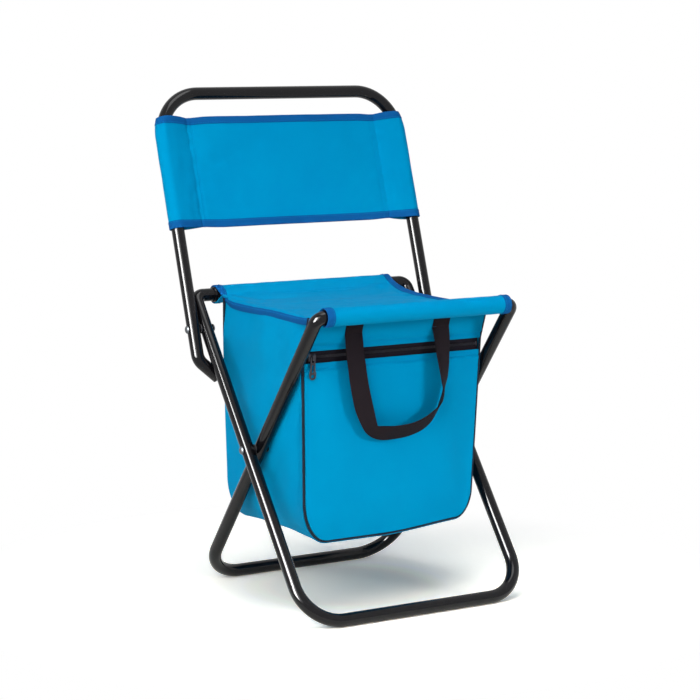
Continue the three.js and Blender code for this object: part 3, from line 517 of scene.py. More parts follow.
# Back band: one cloth sewn into a tube round both posts, its two webs joined between the seams
bandSizes = {"low": 126.5, "tall": 141, "around": 764, "cloth": 1.0, "web": 1.2, "seam": 138, "rows": (0, 6),
             "pocket": 10.0, "binding": 9, "tape": 13, "tapeTurn": 1.2, "tapeThick": 0.35,
             "webWaves": ((1.3, 75, 60, 1.7), (0.5, 22, 40, 9.2)), "pocketWave": (0.35, 9, 26, 5.5),
             "grooves": ((-0.6, 138, 1.8), (-0.5, 132, 1.5)), "puckers": ((1, 138, 9), (1, 132, 22)),
             "stitchIn": 7.4, "seamEnd": 9}
bandLow, bandTall, seamX = bandSizes["low"], bandSizes["tall"], bandSizes["seam"]
bandEdges = (("Top", bandLow + bandTall, -1), ("Bottom", bandLow, 1))


def bandOutline(grow):
    half, radius, seamY = legSizes["backHalf"], bandSizes["pocket"] + grow, bandSizes["web"] + grow
    depth = half - seamX
    leave = atan2(seamY, depth) + acos(radius / hypot(depth, seamY))
    arc = [(-half + radius * cos(a), -radius * sin(a)) for a in spaced(leave, pi, 24)]
    taper = [(blend(-seamX, arc[0][0], share), blend(-seamY, arc[0][1], share) - 3 * share * (1 - share))
             for share in spaced(0, 1, 12)[:-1]]
    frontLeft = taper + arc[:-1]
    web = [(x, -seamY) for x in spaced(-seamX, seamX, 50)[1:-1]]
    front = frontLeft[::-1] + web + [(-x, y) for x, y in frontLeft]
    left = (-half - radius, 0)
    points = [left, *front, (half + radius, 0), *[(-x, -y) for x, y in front], left]
    return Route([(x, y, 0) for x, y in points])


def followBend(x, z):
    half, bend = legSizes["backHalf"], backSizes["bend"]
    above, reach = z - (backSizes["top"] - bend), abs(x)
    if above <= 0 or reach <= seamX:
        return x
    pocketStart = half - 2.6
    arm = max(reach, pocketStart) - (half - bend)
    drawnIn = arm - sqrt(arm * arm - above * above)
    return copysign(reach - drawnIn * min((reach - seamX) / (pocketStart - seamX), 1), x)


def bandOutward(route, share):
    way = route.way(share)
    return Vector((way.y, -way.x, 0))


def bandPoint(route, share, z):
    point = route.at(share)
    x, y, reach = point.x, point.y, abs(point.x)
    # the two seams pucker the cloth and press grooves in it, and the web between them is wavy
    pucker = waves(z, x, (0.28, 11, 40, 3.1)) + 0.2 * sin(z / 4.1 + 2 * wobble(z / 30, x / 20, 7))
    lift = pucker * ridges(reach, bandSizes["puckers"]) + ridges(reach, bandSizes["grooves"])
    if reach > seamX + 8:
        lift += waves(x, z, bandSizes["pocketWave"])
    y += (1 - eased(reach, seamX - 30, seamX)) * waves(x, z, *bandSizes["webWaves"])
    # the edges dip where the pockets begin
    high, dip = (z - bandLow) / bandTall, hump(reach, seamX - 3, 16)
    z += -1.5 * dip * high ** 3 + 1.0 * dip * (1 - high) ** 3
    return Vector((followBend(x, z), y, z)) + bandOutward(route, share) * lift


def bandBinding(label, edge, down):
    outer, width, turn = bandOutline(0.45), bandSizes["binding"], bandSizes["tapeTurn"]

    def fold(u, v):
        # up the outside, over the edge, and a little way down the inside
        run = v * bandSizes["tape"]
        if run < width:
            offset, along = 0.0, width - run
        elif run < width + turn:
            angle = (run - width) / turn * pi / 2
            offset, along = -0.6 * (1 - cos(angle)), -0.6 * sin(angle)
        else:
            offset, along = -0.75, run - width - 1.8
        soft = 0.12 * wobble(u * 90, v * 3, 4.4)
        return bandPoint(outer, u, edge + down * along) + bandOutward(outer, u) * (offset + soft)

    tape = laidCloth(420, 14, fold, (bandSizes["around"], bandSizes["tape"]), bandSizes["tapeThick"], welded=True,
                     inward=down > 0, offset=-1)
    return finishPiece(tape, "bandBinding" + label, backrest, blueBinding, "backrest_binding_" + label.lower())


def nearestShare(route, x, side):
    shares = [share for share in spaced(0, 1, 2000) if route.at(share).y * side > 0]
    return min(shares, key=lambda share: abs(route.at(share).x - x))


def backBand():
    route, outer = bandOutline(0), bandOutline(0.5)
    band = laidCloth(420, 56, lambda u, v: bandPoint(route, u, bandLow + bandTall * v),
                     (bandSizes["around"], bandTall), bandSizes["cloth"], welded=True, offset=-1)
    finishPiece(band, "backBandCloth", backrest, blueCloth, "backrest_band")
    trims = [bandBinding(*edge) for edge in bandEdges]
    seams, end = [], bandSizes["seamEnd"]
    for x, y, inset in product((-seamX, seamX), (-1, 1), bandSizes["rows"]):
        share = nearestShare(route, x - copysign(inset, x), y)
        heights = spaced(bandLow + end, bandLow + bandTall - end, 40)
        seams.append([(bandPoint(route, share, z), (0, y, 0)) for z in heights])
    trims.append(sewn("bandSeamStitches", seams, backrest, blueThread))
    rows = [[(bandPoint(outer, share, edge + down * bandSizes["stitchIn"]), bandOutward(outer, share))
             for share in spaced(0, 1, 400)] for _, edge, down in bandEdges]
    trims.append(sewn("bandBindingStitches", rows, backrest, blueThread))


backBand()
print("back band sewn")

# Seat sling: one cloth with a sleeve round each rail, hemmed underneath and edged with tape.
# Pairs are for the left-hand and the right-hand edge: one turns down, the other up.
seatSizes = {"half": 128.4, "inset": 5, "sag": 14, "leave": radians(32), "end": radians(213),
             "sleeve": 10.57, "cloth": 1.0, "hem": (15, 23), "curl": 4.2, "hang": (5.0, 4.0),
             "turned": (radians(118), radians(-20)), "edgeSag": 4.5, "binding": 9, "tapeTurn": 2.4,
             "flat": (257, 427), "tape": (402, 20.4), "tapeThick": 0.3, "rows": (16.5, 21.5), "stitchIn": 7.2,
             "waves": ((1.7, 120, 15, 2.3), (0.6, 34, 26, 8.8)), "sunk": 2.6}
railDepth = legSizes["above"] * sin(lean)
railRise = crossHeight + legSizes["above"] * cos(lean)
seatLow = railRise + seatSizes["sleeve"] - seatSizes["sag"]


def spanPoint(share):
    # a cubic from the seat's low middle up to where the cloth meets the sleeve
    leave, rest = seatSizes["leave"], 1 - share
    reach = railDepth - seatSizes["sleeve"] * sin(leave)
    top = railRise + seatSizes["sleeve"] * cos(leave)
    depths = (0, reach * 0.55, reach * 0.78, reach)
    heights = (seatLow, seatLow, top - reach * 0.22 * tan(leave), top)
    weights = (rest ** 3, 3 * rest * rest * share, 3 * rest * share * share, share ** 3)
    return Vector((0, *(sum(w * post for w, post in zip(weights, posts)) for posts in (depths, heights))))


spanRoute = Route([spanPoint(share) for share in spaced(0, 1, 60)])


def seatHeightAt(depth):
    reach = min(abs(depth), spanRoute.points[-1].y)
    low, high = 0.0, 1.0
    for _ in range(24):
        middle = (low + high) / 2
        low, high = (middle, high) if spanPoint(middle).y < reach else (low, middle)
    return spanPoint(low).z


def halfSeatLine():
    line = spanRoute.points[:]
    for angle in spaced(seatSizes["leave"], -seatSizes["end"], 40)[1:]:
        line.append(Vector((0, railDepth - seatSizes["sleeve"] * sin(angle),
                            railRise + seatSizes["sleeve"] * cos(angle))))
    for back in seatSizes["hem"]:
        share = 1 - back / spanRoute.length
        way = spanRoute.way(share)
        line.append(spanRoute.at(share) + Vector((0, way.z, -way.y)) * 1.5)
    return line


rearLine = halfSeatLine()
seatRoute = Route([Vector((0, -point.y, point.z)) for point in reversed(rearLine[1:])] + rearLine)
hemShare = (seatSizes["hem"][1] + 6) / seatRoute.length


def seatHalfAt(depth):
    share = min(abs(depth) / railDepth, 1)
    return seatSizes["half"] - seatSizes["inset"] * (1 - share * share)


def curledEdge(inboard, hang, turned):
    # the edge turns over a small arc, down or, where turned is below 0, up: how far in, how low, and its turn
    radius, full, sign = seatSizes["curl"], abs(turned), copysign(1, turned)
    angle = min(max(full - (inboard - hang) / radius, 0), full)
    straight = max(hang - inboard, 0)
    drawnIn = radius * (1 - sin(angle)) - straight * cos(angle) + max(inboard - hang - radius * full, 0)
    drawnIn -= min(radius * (1 - sin(full)) - hang * cos(full), 0)
    return drawnIn, sign * (radius * (1 - cos(angle)) + straight * sin(angle)), sign * angle


def edgeSag(x, y):
    # the right-hand edge hangs lower between the rails
    between = max(1 - (y / railDepth) ** 2, 0)
    return seatSizes["edgeSag"] * between * between * eased(x, 50, 125)


def seatPoint(across, share, lift=0.0):
    # across runs from -1 to 1 between the side edges
    point, way = seatRoute.at(share), seatRoute.way(share)
    y, half = point.y, seatHalfAt(point.y)
    x, up = across * half, Vector((0, -way.z, way.y))
    free = 1 - eased(abs(y), 96, 122) if hemShare < share < 1 - hemShare else 0
    creases = 0.0  # creases fan out from the four corners
    for cornerY, cornerX in product((-1, 1), (-1, 1)):
        dx, dy = x - cornerX * 126, y - cornerY * 122
        far, turn = hypot(dx, dy), atan2(abs(dy), abs(dx))
        creases += 1.1 * sin(turn * 11 + cornerX * 2 + cornerY) * eased(far, 6, 30) * (1 - eased(far, 50, 105))
    inboard = half - abs(x)
    soft = waves(x, y, *seatSizes["waves"]) + creases - seatSizes["sunk"] * (1 - across * across)
    bump = free * soft * eased(inboard, 4, 18) + (1 - free) * 0.3 * wobble(x / 16, share * 60, 6.1)
    drawnIn, drop, angle = curledEdge(inboard, seatSizes["hang"][x > 0], seatSizes["turned"][x > 0])
    outward = Vector((copysign(1, x) * sin(angle * free), 0, 0)) + up * cos(angle * free)
    side = copysign(half - blend(inboard, drawnIn, free), x)
    drop = (drop + edgeSag(x, y)) * free
    return Vector((side, y, point.z - drop)) + up * bump + outward * lift, outward


def seatEdgePoint(side, inboard, share, lift):
    half = seatHalfAt(seatRoute.at(share).y)
    return seatPoint(side * (half - inboard) / half, share, lift)


def seatBetween(piece):
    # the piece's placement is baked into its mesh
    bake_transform(piece)
    return piece


def seatTape(label, side):
    width, turn, clear = seatSizes["binding"], seatSizes["tapeTurn"], 0.75

    def fold(u, v):
        # over the top, round the edge and back underneath
        run, share = v * (2 * width + turn), blend(hemShare, 1 - hemShare, u)
        if run < width:
            inboard, lift = width - run, clear
        elif run < width + turn:
            angle = (run - width) / turn * pi
            inboard, lift = -clear * sin(angle), clear * cos(angle)
        else:
            inboard, lift = run - width - turn, -clear
        place, _ = seatEdgePoint(side, max(inboard, 0), share, lift + 0.1 * wobble(share * 300, run, 3))
        return place + Vector((-side * min(inboard, 0), 0, 0))

    tape = laidCloth(260, 22, fold, seatSizes["tape"], seatSizes["tapeThick"], inward=side > 0, offset=1)
    return seatBetween(finishPiece(tape, "seatBinding" + label, seatHome, blueBinding,
                                   "seat_binding_" + label.lower()))


def nearestSeatShare(depth):
    points = [(share, seatRoute.at(share)) for share in spaced(hemShare, 1 - hemShare, 1200)]
    above = [(abs(p.y - depth), share) for share, p in points if p.z > railRise - 6 and abs(p.y) < 126]
    return min(above)[1]


def seatCloth():
    seat = laidCloth(120, 190, lambda u, v: seatPoint(2 * u - 1, v)[0], seatSizes["flat"], seatSizes["cloth"])
    seatBetween(finishPiece(seat, "seatCloth", seatHome, blueCloth, "seat_sling"))
    trims = [seatTape("Left", -1), seatTape("Right", 1)]
    shares = spaced(hemShare, 1 - hemShare, 300)
    edges = [[seatEdgePoint(side, seatSizes["stitchIn"], share, 1.1) for share in shares] for side in (-1, 1)]
    sleeves = []
    for depth in (-1, 1):
        for back in seatSizes["rows"]:
            share = nearestSeatShare(depth * (spanRoute.points[-1].y - back * 0.9))
            sleeves.append([seatPoint(across, share, 0.5) for across in spaced(-0.92, 0.92, 120)])
    for name, lines in (("seatBindingStitches", edges), ("seatSleeveStitches", sleeves)):
        trims.append(seatBetween(sewn(name, lines, seatHome, blueThread)))


seatCloth()
print("seat sewn")


# Bag outlines: h is the height above the bag's floor, x the place across
def stripReach(h):
    return max(h - bagSizes["zipHigh"], 0) * tan(radians(bagSizes["stripLean"]))


def bagHalfAt(h):
    return blend(bagSizes["bottomHalf"], bagSizes["topHalf"], min(h / bagSizes["zipHigh"], 1))


def bagHeightAt(depth, below):
    return seatHeightAt(depth) - below - bagSizes["floor"]


def lifted(x, h):
    # the bag's floor rises a little towards its right corner
    return h + 9 * eased(x, -10, 125) * (1 - eased(h, 5, 120))


def bagOutline(inset, top):
    halves = []
    for side, (wide, tall) in zip((-1, 1), bagSizes["corners"]):
        cornerX = bagHalfAt(tall) - wide
        half = [(bagHalfAt(h) - inset, h) for h in spaced(top, tall, 40)[:-1]]
        for angle in spaced(0, pi / 2, 24):
            half.append((cornerX + (wide - inset) * cos(angle), tall - (tall - inset) * sin(angle)))
        half += [(x, inset) for x in spaced(cornerX, 0, 20)[1:]]
        halves.append([(side * x, 0, h) for x, h in half])
    return Route(halves[0] + halves[1][-2::-1])


def panelHalfAt(h, inset, corner):
    wide, tall = corner
    if h >= tall:
        return bagHalfAt(h) - inset
    drop = min((tall - h) / (tall - inset), 1)
    return bagHalfAt(tall) - wide + (wide - inset) * sqrt(1 - drop * drop)


def panelSurface(inset, top, bulge, seed, pulled=0):
    # rows crowd towards the rounded corners, and the cloth swells between its seams
    low, cornerShare = bagSizes["corners"][0][1], 0.3

    def place(u, v):
        if v > cornerShare:
            h = blend(low, top, (v - cornerShare) / (1 - cornerShare))
        else:
            h = low - (low - inset) * cos(pi / 2 * v / cornerShare)
        left, right = (panelHalfAt(h, inset, corner) for corner in bagSizes["corners"])
        x = blend(-left, right, u)
        edge = min(left + x, right - x, h - inset + 4, (top - h) * 1.3 + 9)
        # broad waves, a slanting fold at the right where the cloth is pulled, and small puckers along the seams
        soft = waves(x, h, (2.2, 70, 95, seed), (0.9, 32, 42, seed + 4))
        soft += pulled * hump(x * 0.75 + h * 0.66, 118, 22) * eased(x, 10, 60)
        soft += hump(edge, 9, 7) * waves(x, h, (0.6, 9, 9, seed + 9))
        return Vector((x, -bulge * eased(edge, 0, 55) - soft * eased(edge, 2, 40), lifted(x, h)))

    return place


pipeRadius = 1.5


def pipe(label, home, top, depth):
    outline = bagOutline(pipeRadius, top)

    def place(u, v):
        point, way = outline.at(v), outline.way(v)
        angle = 2 * pi * u
        point = point + Vector((way.z, 0, -way.x)) * (pipeRadius * cos(angle))
        point.y += depth + pipeRadius * sin(angle) - (stripReach(point.z) if label == "Front" else 0)
        point.z = lifted(point.x, point.z)
        return point

    pick(laidCloth(10, 300, place, (2 * pi * pipeRadius, outline.length), welded=True))
    bpy.ops.object.mode_set(mode="EDIT")
    finishPiece(tidied(), "bag" + label + "Piping", home, blackPiping, "bag_" + label.lower() + "_piping", 60)


def legRoom(y, h):
    # how far the bag's side may swell beside the inner leg that passes it
    z = h + bagSizes["floor"] - crossHeight
    return eased(abs(y * cos(lean) + z * sin(lean)), 9, 26)


def shellCloth(inset, gap, rimDrop, grid, width, thick, *about):
    # a U of cloth between the front and the back; above the shoulder it runs up to the seat
    shoulder, frontTop = 200, bagHeightAt(-95, rimDrop)
    outline = bagOutline(inset, frontTop)

    def place(u, v):
        point, way = outline.at(v), outline.way(v)
        x, h = point.x, point.z
        front = -bagSizes["front"] + gap - h * tan(frontLean) - stripReach(h)
        y = blend(front, bagSizes["back"] - gap, u)
        rim = bagHeightAt(y, rimDrop) + (0.8 - edgeSag(x, y) if x > 0 else 0)
        high = eased(h, shoulder, frontTop)
        if h >= shoulder:
            h = blend(shoulder, rim, (h - shoulder) / (frontTop - shoulder))
        narrow = min(abs(x), seatHalfAt(y) - 3.9 - inset)
        x = copysign(blend(abs(x), narrow, high ** 2), x)
        # the side swells in its middle and most below the seat, is drawn in lower down, stands out beside the
        # front piping and sinks in one long fold, and the floor sags
        middle, room = sin(pi * u) ** 0.8, legRoom(y, h)
        swell = 3.0 + waves(y, h, (1.8, 34, 60, 2.9 + copysign(2, x))) + 6.5 * hump(h, 222 - 32 * u, 34)
        side = (swell * room - 3.6 * hump(h, 138, 46)) * middle + 5.2 * hump(u, 0.085, 0.075) * room
        side -= 4.2 * hump(u, 0.55 + 0.1 * sin(h / 60), 0.2) * eased(h, 60, 130)
        side *= eased(h, 20, 90) * (1 - eased(h, frontTop - 22, frontTop - 2))
        floorSag = (3.2 + waves(x, y, (0.9, 40, 40, 5.2))) * middle * (1 - eased(h, 4, 50))
        return Vector((x, y, lifted(x, h))) - Vector((way.z, 0, -way.x)) * (side + floorSag)

    cloth = laidCloth(*grid, place, (width, outline.length), thick, inward=True, offset=-1)
    finishSheet(cloth, *about, folds=True)


# seams are ridges over the place below the zip, or over the share of the strip above it
bagCloth = {"grid": (110, 110), "inset": 3.3, "thick": 1.2, "bulge": 3.6, "pulled": 3.4, "pipe": 1.2,
            "pocketSeam": ((0.5, 1.5, 2.5), (1.0, 6.5, 1.8), (-0.5, 10, 3)), "pocketRows": (3.2, 6.5),
            "stripSeam": ((-0.5, 0.05, 0.05), (0.9, 0.15, 0.04), (-0.6, 0.24, 0.06)), "stripRows": (0.075, 0.15),
            "stripWaves": ((-1.3, 50, 0.5, 6.6), (-0.9, 18, 1 / 3, 3.6))}
liningCloth = {"inset": 4.2, "thick": 0.8, "bulge": 0.3, "wide": 246}


def zipStitches(surface, heights):
    return [[(surface(u, v) + Vector((0, -0.6, 0)), (0, -1, 0)) for u in spaced(0.02, 0.98, 90)] for v in heights]


def bagPieces():
    low, inset, bulge, thick = bagSizes["zipLow"], bagCloth["inset"], bagCloth["bulge"], bagCloth["thick"]
    surface = panelSurface(inset, low, bulge, 1.3, bagCloth["pulled"])

    def creased(u, v):
        point = surface(u, v)
        point.y += ridges(low - point.z, bagCloth["pocketSeam"])
        return point

    front = laidCloth(110, 180, creased, (250, 219), thick)
    finishSheet(front, "bagFrontCloth", bagFront, blueCloth, "bag_front_panel", (0.25, 0.218), "seatCloth")
    backTop = bagHeightAt(bagSizes["back"], 3.9)
    back = laidCloth(*bagCloth["grid"], panelSurface(inset, backTop, -bulge, 7.7), (250, 275), thick, inward=True)
    finishSheet(back, "bagBackCloth", bagBack, blueCloth, "bag_back_panel", (0.25, 0.275), "seatCloth")
    frontTop = bagHeightAt(-96, 2.2) / cos(frontLean)

    def strip(u, v):
        h = blend(bagSizes["zipHigh"], frontTop, v)
        x = (2 * u - 1) * (bagHalfAt(h) - inset)
        soft = ridges(v, bagCloth["stripSeam"]) + waves(x, v, *bagCloth["stripWaves"]) * eased(v, 0.1, 0.4)
        return Vector((x, soft - stripReach(h), h))

    rows = zipStitches(creased, [1 - below / 173 * 0.7 for below in bagCloth["pocketRows"]])
    sewn("zipStitches", rows + zipStitches(strip, bagCloth["stripRows"]), bagFront, blueThread)
    finishSheet(laidCloth(110, 40, strip, (250, 47), thick), "bagTopStripCloth", bagFront, blueCloth,
                "bag_front_top_strip", (0.25, 0.047), "seatCloth")
    pipe("Front", bagFront, frontTop, bagCloth["pipe"])
    pipe("Back", bagBack, backTop, -bagCloth["pipe"])
    shellCloth(0, 2.2, 1.7, (64, 320), 183, thick, "bagSideCloth", bagSides, blueCloth, "bag_gusset",
               (0.186, 0.75), "seatCloth")
    shellCloth(2.2, 6.2, 3.4, (40, 160), 170, liningCloth["thick"], "liningSides", bagSides, foilLining,
               "bag_side_lining", (0.176, 0.735), "bagSideCloth")
    for label, home, tall, sign, seed, inside in (("Front", bagFront, 210, 1, 3.3, 6.5),
                                                  ("Back", bagBack, 264, -1, 5.3, -5.5)):
        surface = panelSurface(liningCloth["inset"], tall + 2, sign * liningCloth["bulge"], seed)
        lining = laidCloth(*bagCloth["grid"], surface, (liningCloth["wide"], tall), liningCloth["thick"],
                           inward=sign < 0)
        lining.data.transform(moved(0, inside, 0))
        finishSheet(lining, "lining" + label, home, foilLining, "bag_" + label.lower() + "_lining",
                    (0.246, tall * 0.001), "bag" + label + "Cloth")


bagPieces()
print("bag sewn")

# Zip: two knitted tapes, two rows of interlocked nylon teeth, a stop at each end
zipSizes = {"height": 226.46, "half": 123.2, "teethHalf": 119.6, "pitch": 1.5, "depth": 0.9, "stopX": 121.4,
            "tooth": (0.62, 2.2, 2.5), "toothTip": 0.6, "toothEdge": 0.22, "stagger": 0.55, "stop": (2.4, 2.4, 4.4),
            "stopEdge": 0.16, "tape": 9.9, "tapeThick": 0.6, "tapeDepth": 1.9, "sliderX": -114.585,
            "pullDepth": -2.9}


def zipTeeth():
    deselect()
    bpy.ops.mesh.primitive_cube_add(size=1)
    tooth = bpy.context.object
    wide, deep, tall = zipSizes["tooth"]
    for corner in tooth.data.vertices:
        narrowed = zipSizes["toothTip"] if corner.co.z > 0 else 1
        corner.co = Vector((corner.co.x * wide, corner.co.y * deep * narrowed, corner.co.z * tall))
    applied(tooth, "BEVEL", width=zipSizes["toothEdge"], segments=1)
    places = []
    for k in range(2 * int(2 * zipSizes["teethHalf"] / zipSizes["pitch"])):
        side = 1 if k % 2 else -1
        x = -zipSizes["teethHalf"] + (k + 0.5) * zipSizes["pitch"] / 2
        places.append(moved(x, zipSizes["depth"] + 0.6, zipSizes["height"] + side * zipSizes["stagger"])
                      @ Matrix.Rotation(0 if side < 0 else pi, 4, "X"))
    finishPiece(repeated(tooth, places), "zipTeeth", bagFront, blackNylon, "zip_coil", 40)


def zipTapes():
    for label, side in (("Upper", 1), ("Lower", -1)):
        def place(u, v):
            x = (2 * u - 1) * zipSizes["half"]
            y = zipSizes["tapeDepth"] - 0.35 * hump(v, 0.12, 0.05) + 0.15 * wobble(x / 14, v * 2, side * 3)
            return Vector((x, y, zipSizes["height"] + side * (1.2 + v * zipSizes["tape"])))

        tape = laidCloth(160, 16, place, (246, zipSizes["tape"]), zipSizes["tapeThick"], inward=side < 0)
        finishSheet(tape, "zipTape" + label, bagFront, zipTapeBlack, "zip_tape_" + label.lower(), (0.246, 0.0101),
                    "bagFrontCloth", "stretched")


def zipStops():
    for label, side in (("left", -1), ("right", 1)):
        deselect()
        bpy.ops.mesh.primitive_cube_add(size=1, scale=zipSizes["stop"], location=(
            side * zipSizes["stopX"], zipSizes["tapeDepth"], zipSizes["height"]))
        stop = bpy.context.object
        applied(stop, "BEVEL", width=zipSizes["stopEdge"], segments=3)
        finishPiece(stop, label + "ZipStop", bagFront, gunMetal, "zip_stop_" + label)


def boxPiece(centre, size, bevel):
    deselect()
    bpy.ops.mesh.primitive_cube_add(size=1, location=centre, scale=size)
    bpy.ops.object.transform_apply(location=False, rotation=False)
    piece = bpy.context.object
    applied(piece, "BEVEL", width=bevel, segments=3)
    return piece


def barAlong(points, width, thick):
    # a small bent bar whose points lie in the YZ plane
    route = Route([(0, y, z) for y, z in points])
    corners = ((-0.5, -0.5), (0.5, -0.5), (0.5, 0.5), (-0.5, 0.5), (-0.5, -0.5))

    def place(u, v):
        way = route.way(v, 0.01)
        k = min(int(u * 4 + 1e-6), 3)
        x, y = (blend(a, b, u * 4 - k) for a, b in zip(corners[k], corners[k + 1]))
        return route.at(v) + Vector((x * width, 0, 0)) + Vector((0, -way.z, way.y)) * y * thick

    pick(laidCloth(4, 24, place, (2 * (width + thick), route.length), welded=True))
    editAll()
    bpy.ops.mesh.fill_holes(sides=8)
    bar = tidied()
    applied(bar, "BEVEL", width=0.2, segments=2, limit_method="ANGLE", angle_limit=radians(50))
    return bar


# the slider's plate narrows towards its right end, and its arch is given by its lower half and its middle
sliderSizes = {"plate": ((0, -1.1, 0), (10, 1.5, 9), 0.6), "narrowed": 0.064, "end": ((9, 2.4, 1.1), 0.35),
               "endDepth": 0.35, "endReach": 3.75, "rising": [(-1.6, -3.6), (-3.4, -3.6), (-4.4, -2.8)],
               "middle": (-4.9, 0), "bar": (2.4, 0.9)}


def slider():
    body = boxPiece(*sliderSizes["plate"])
    for corner in body.data.vertices:
        if corner.co.x > 0:
            corner.co.z *= 1 - sliderSizes["narrowed"] * corner.co.x
    ends = [boxPiece((0, sliderSizes["endDepth"], side * sliderSizes["endReach"]), *sliderSizes["end"])
            for side in (-1, 1)]
    rising = sliderSizes["rising"]
    arch = barAlong([*rising, sliderSizes["middle"], *[(y, -z) for y, z in reversed(rising)]], *sliderSizes["bar"])
    home = (bagFrontFrame @ moved(zipSizes["sliderX"], 0, zipSizes["height"]), "zip_slider_body")
    finishPiece(joined([body, *ends, arch]), "zipSlider", home, gunMetal, "zip_slider")


def roundedPlate(outlines, thick, bevel):
    # a flat curve with holes, thickened, whose rounded rim adds the bevel all round
    data = bpy.data.curves.new("plate", "CURVE")
    data.dimensions, data.fill_mode = "2D", "BOTH"
    data.extrude, data.bevel_depth, data.bevel_resolution = thick / 2 - bevel, bevel, 2
    for outline in outlines:
        spline = data.splines.new("POLY")
        spline.points.add(len(outline) - 1)
        for point, (x, z) in zip(spline.points, outline):
            point.co = (x, z, 0, 1)
        spline.use_cyclic_u = True
    piece = bpy.data.objects.new("plate", data)
    bpy.context.collection.objects.link(piece)
    pick(piece)
    bpy.ops.object.convert(target="MESH")
    bpy.context.object.data.transform(Matrix.Rotation(pi / 2, 4, "X"))
    bpy.ops.object.mode_set(mode="EDIT")
    return tidied()


def longRound(halfWidth, low, high):
    arc = spaced(0, pi, 12)
    upper = [(halfWidth * cos(a), high - halfWidth + halfWidth * sin(a)) for a in arc]
    lower = [(-halfWidth * cos(a), low + halfWidth - halfWidth * sin(a)) for a in arc]
    return upper + lower


pullSizes = {"top": 0.4, "low": -26.2, "end": 4.5, "roundFrom": -21.8, "neck": 3.3, "thick": 1.3, "bevel": 0.35,
             "holes": ((2.1, -6.4, -0.55), (1.6, -18.5, -8.2), (2.5, -24.4, -19.9))}


def pull():
    shape, end = [], pullSizes["end"]
    for z in spaced(pullSizes["top"], pullSizes["low"], 40):
        wide = pullSizes["neck"] + (end - pullSizes["neck"]) * eased(-z, 13, 20)
        if z < pullSizes["roundFrom"]:
            wide = sqrt(max(end ** 2 - (pullSizes["roundFrom"] - z) ** 2, 0))
        shape.append((max(wide, 0.2) - 0.2, z))
    outline = shape + [(-x, z) for x, z in reversed(shape)]
    plate = roundedPlate([outline, *[longRound(*hole) for hole in pullSizes["holes"]]], pullSizes["thick"],
                         pullSizes["bevel"])
    home = (bagFrontFrame @ moved(zipSizes["sliderX"], zipSizes["pullDepth"], zipSizes["height"]), "zip_pull_body")
    finishPiece(plate, "zipPull", home, gunMetal, "zip_pull")


zipTeeth()
zipTapes()
zipStops()
slider()
pull()
print("zip made")

# Carry handle: webbing whose sewn ends lie on the top strip, and whose loop hangs from them
handleSizes = {"half": 62, "standOff": 19.5, "drop": 123, "hinge": 252.96, "lean": radians(38), "width": 23.6,
               "thick": 1.7, "anchor": 12, "sewn": (10.5, 1.6, 10), "buckle": (6, 11)}
# across, out, down and leaning, as shares of the sizes above; the buckle lies between two of these rows
handleShares = [(-1, 0.37, 0, 0), (-1, 0.5, 0.09, 0.02), (-1, 0.62, 0.19, 0.04), (-0.98, 0.76, 0.315, 0.06),
                (-0.96, 0.86, 0.43, 0.08), (-0.92, 0.92, 0.55, 0.1), (-0.865, 0.95, 0.667, 0.14),
                (-0.81, 0.97, 0.768, 0.24), (-0.75, 0.98, 0.85, 0.5), (-0.66, 0.99, 0.925, 0.8),
                (-0.5, 1, 0.975, 0.98), (-0.29, 1, 0.995, 1), (-0.01, 1, 0.995, 1), (0.26, 1, 0.98, 1),
                (0.52, 1, 0.94, 1), (0.69, 0.99, 0.89, 1.1), (0.83, 0.97, 0.825, 1.35), (0.94, 0.95, 0.74, 1.6),
                (1.005, 0.93, 0.63, 1.5), (1.02, 0.9, 0.51, 1.05), (1.02, 0.82, 0.39, 0.75),
                (1.01, 0.7, 0.26, 0.45), (1.01, 0.56, 0.13, 0.2), (1, 0.37, 0, 0)]
handleSteps = 12


def throughPoints(points):
    # a smooth line through all the points, with the ends carried on
    ends = [points[0] * 2 - points[1], *points, points[-1] * 2 - points[-2]]
    line = []
    for k in range(len(points) - 1):
        p0, p1, p2, p3 = ends[k:k + 4]
        gaps = [max((b - a).length ** 0.5, 1e-6) for a, b in ((p0, p1), (p1, p2), (p2, p3))]
        t1 = ((p1 - p0) / gaps[0] - (p2 - p0) / (gaps[0] + gaps[1]) + (p2 - p1) / gaps[1]) * gaps[1]
        t2 = ((p2 - p1) / gaps[1] - (p3 - p1) / (gaps[1] + gaps[2]) + (p3 - p2) / gaps[2]) * gaps[1]
        for s in spaced(0, 1, handleSteps)[:-1]:
            line.append(p1 * (2 * s ** 3 - 3 * s ** 2 + 1) + t1 * (s ** 3 - 2 * s ** 2 + s)
                        + p2 * (3 * s ** 2 - 2 * s ** 3) + t2 * (s ** 3 - s ** 2))
    return line + [points[-1]]


def webbingPiece(piece, name, bevel, home, node):
    applied(piece, "BEVEL", width=bevel, segments=2, limit_method="ANGLE", angle_limit=radians(60))
    finishPiece(piece, name, home, blackWebbing, node)
    return piece


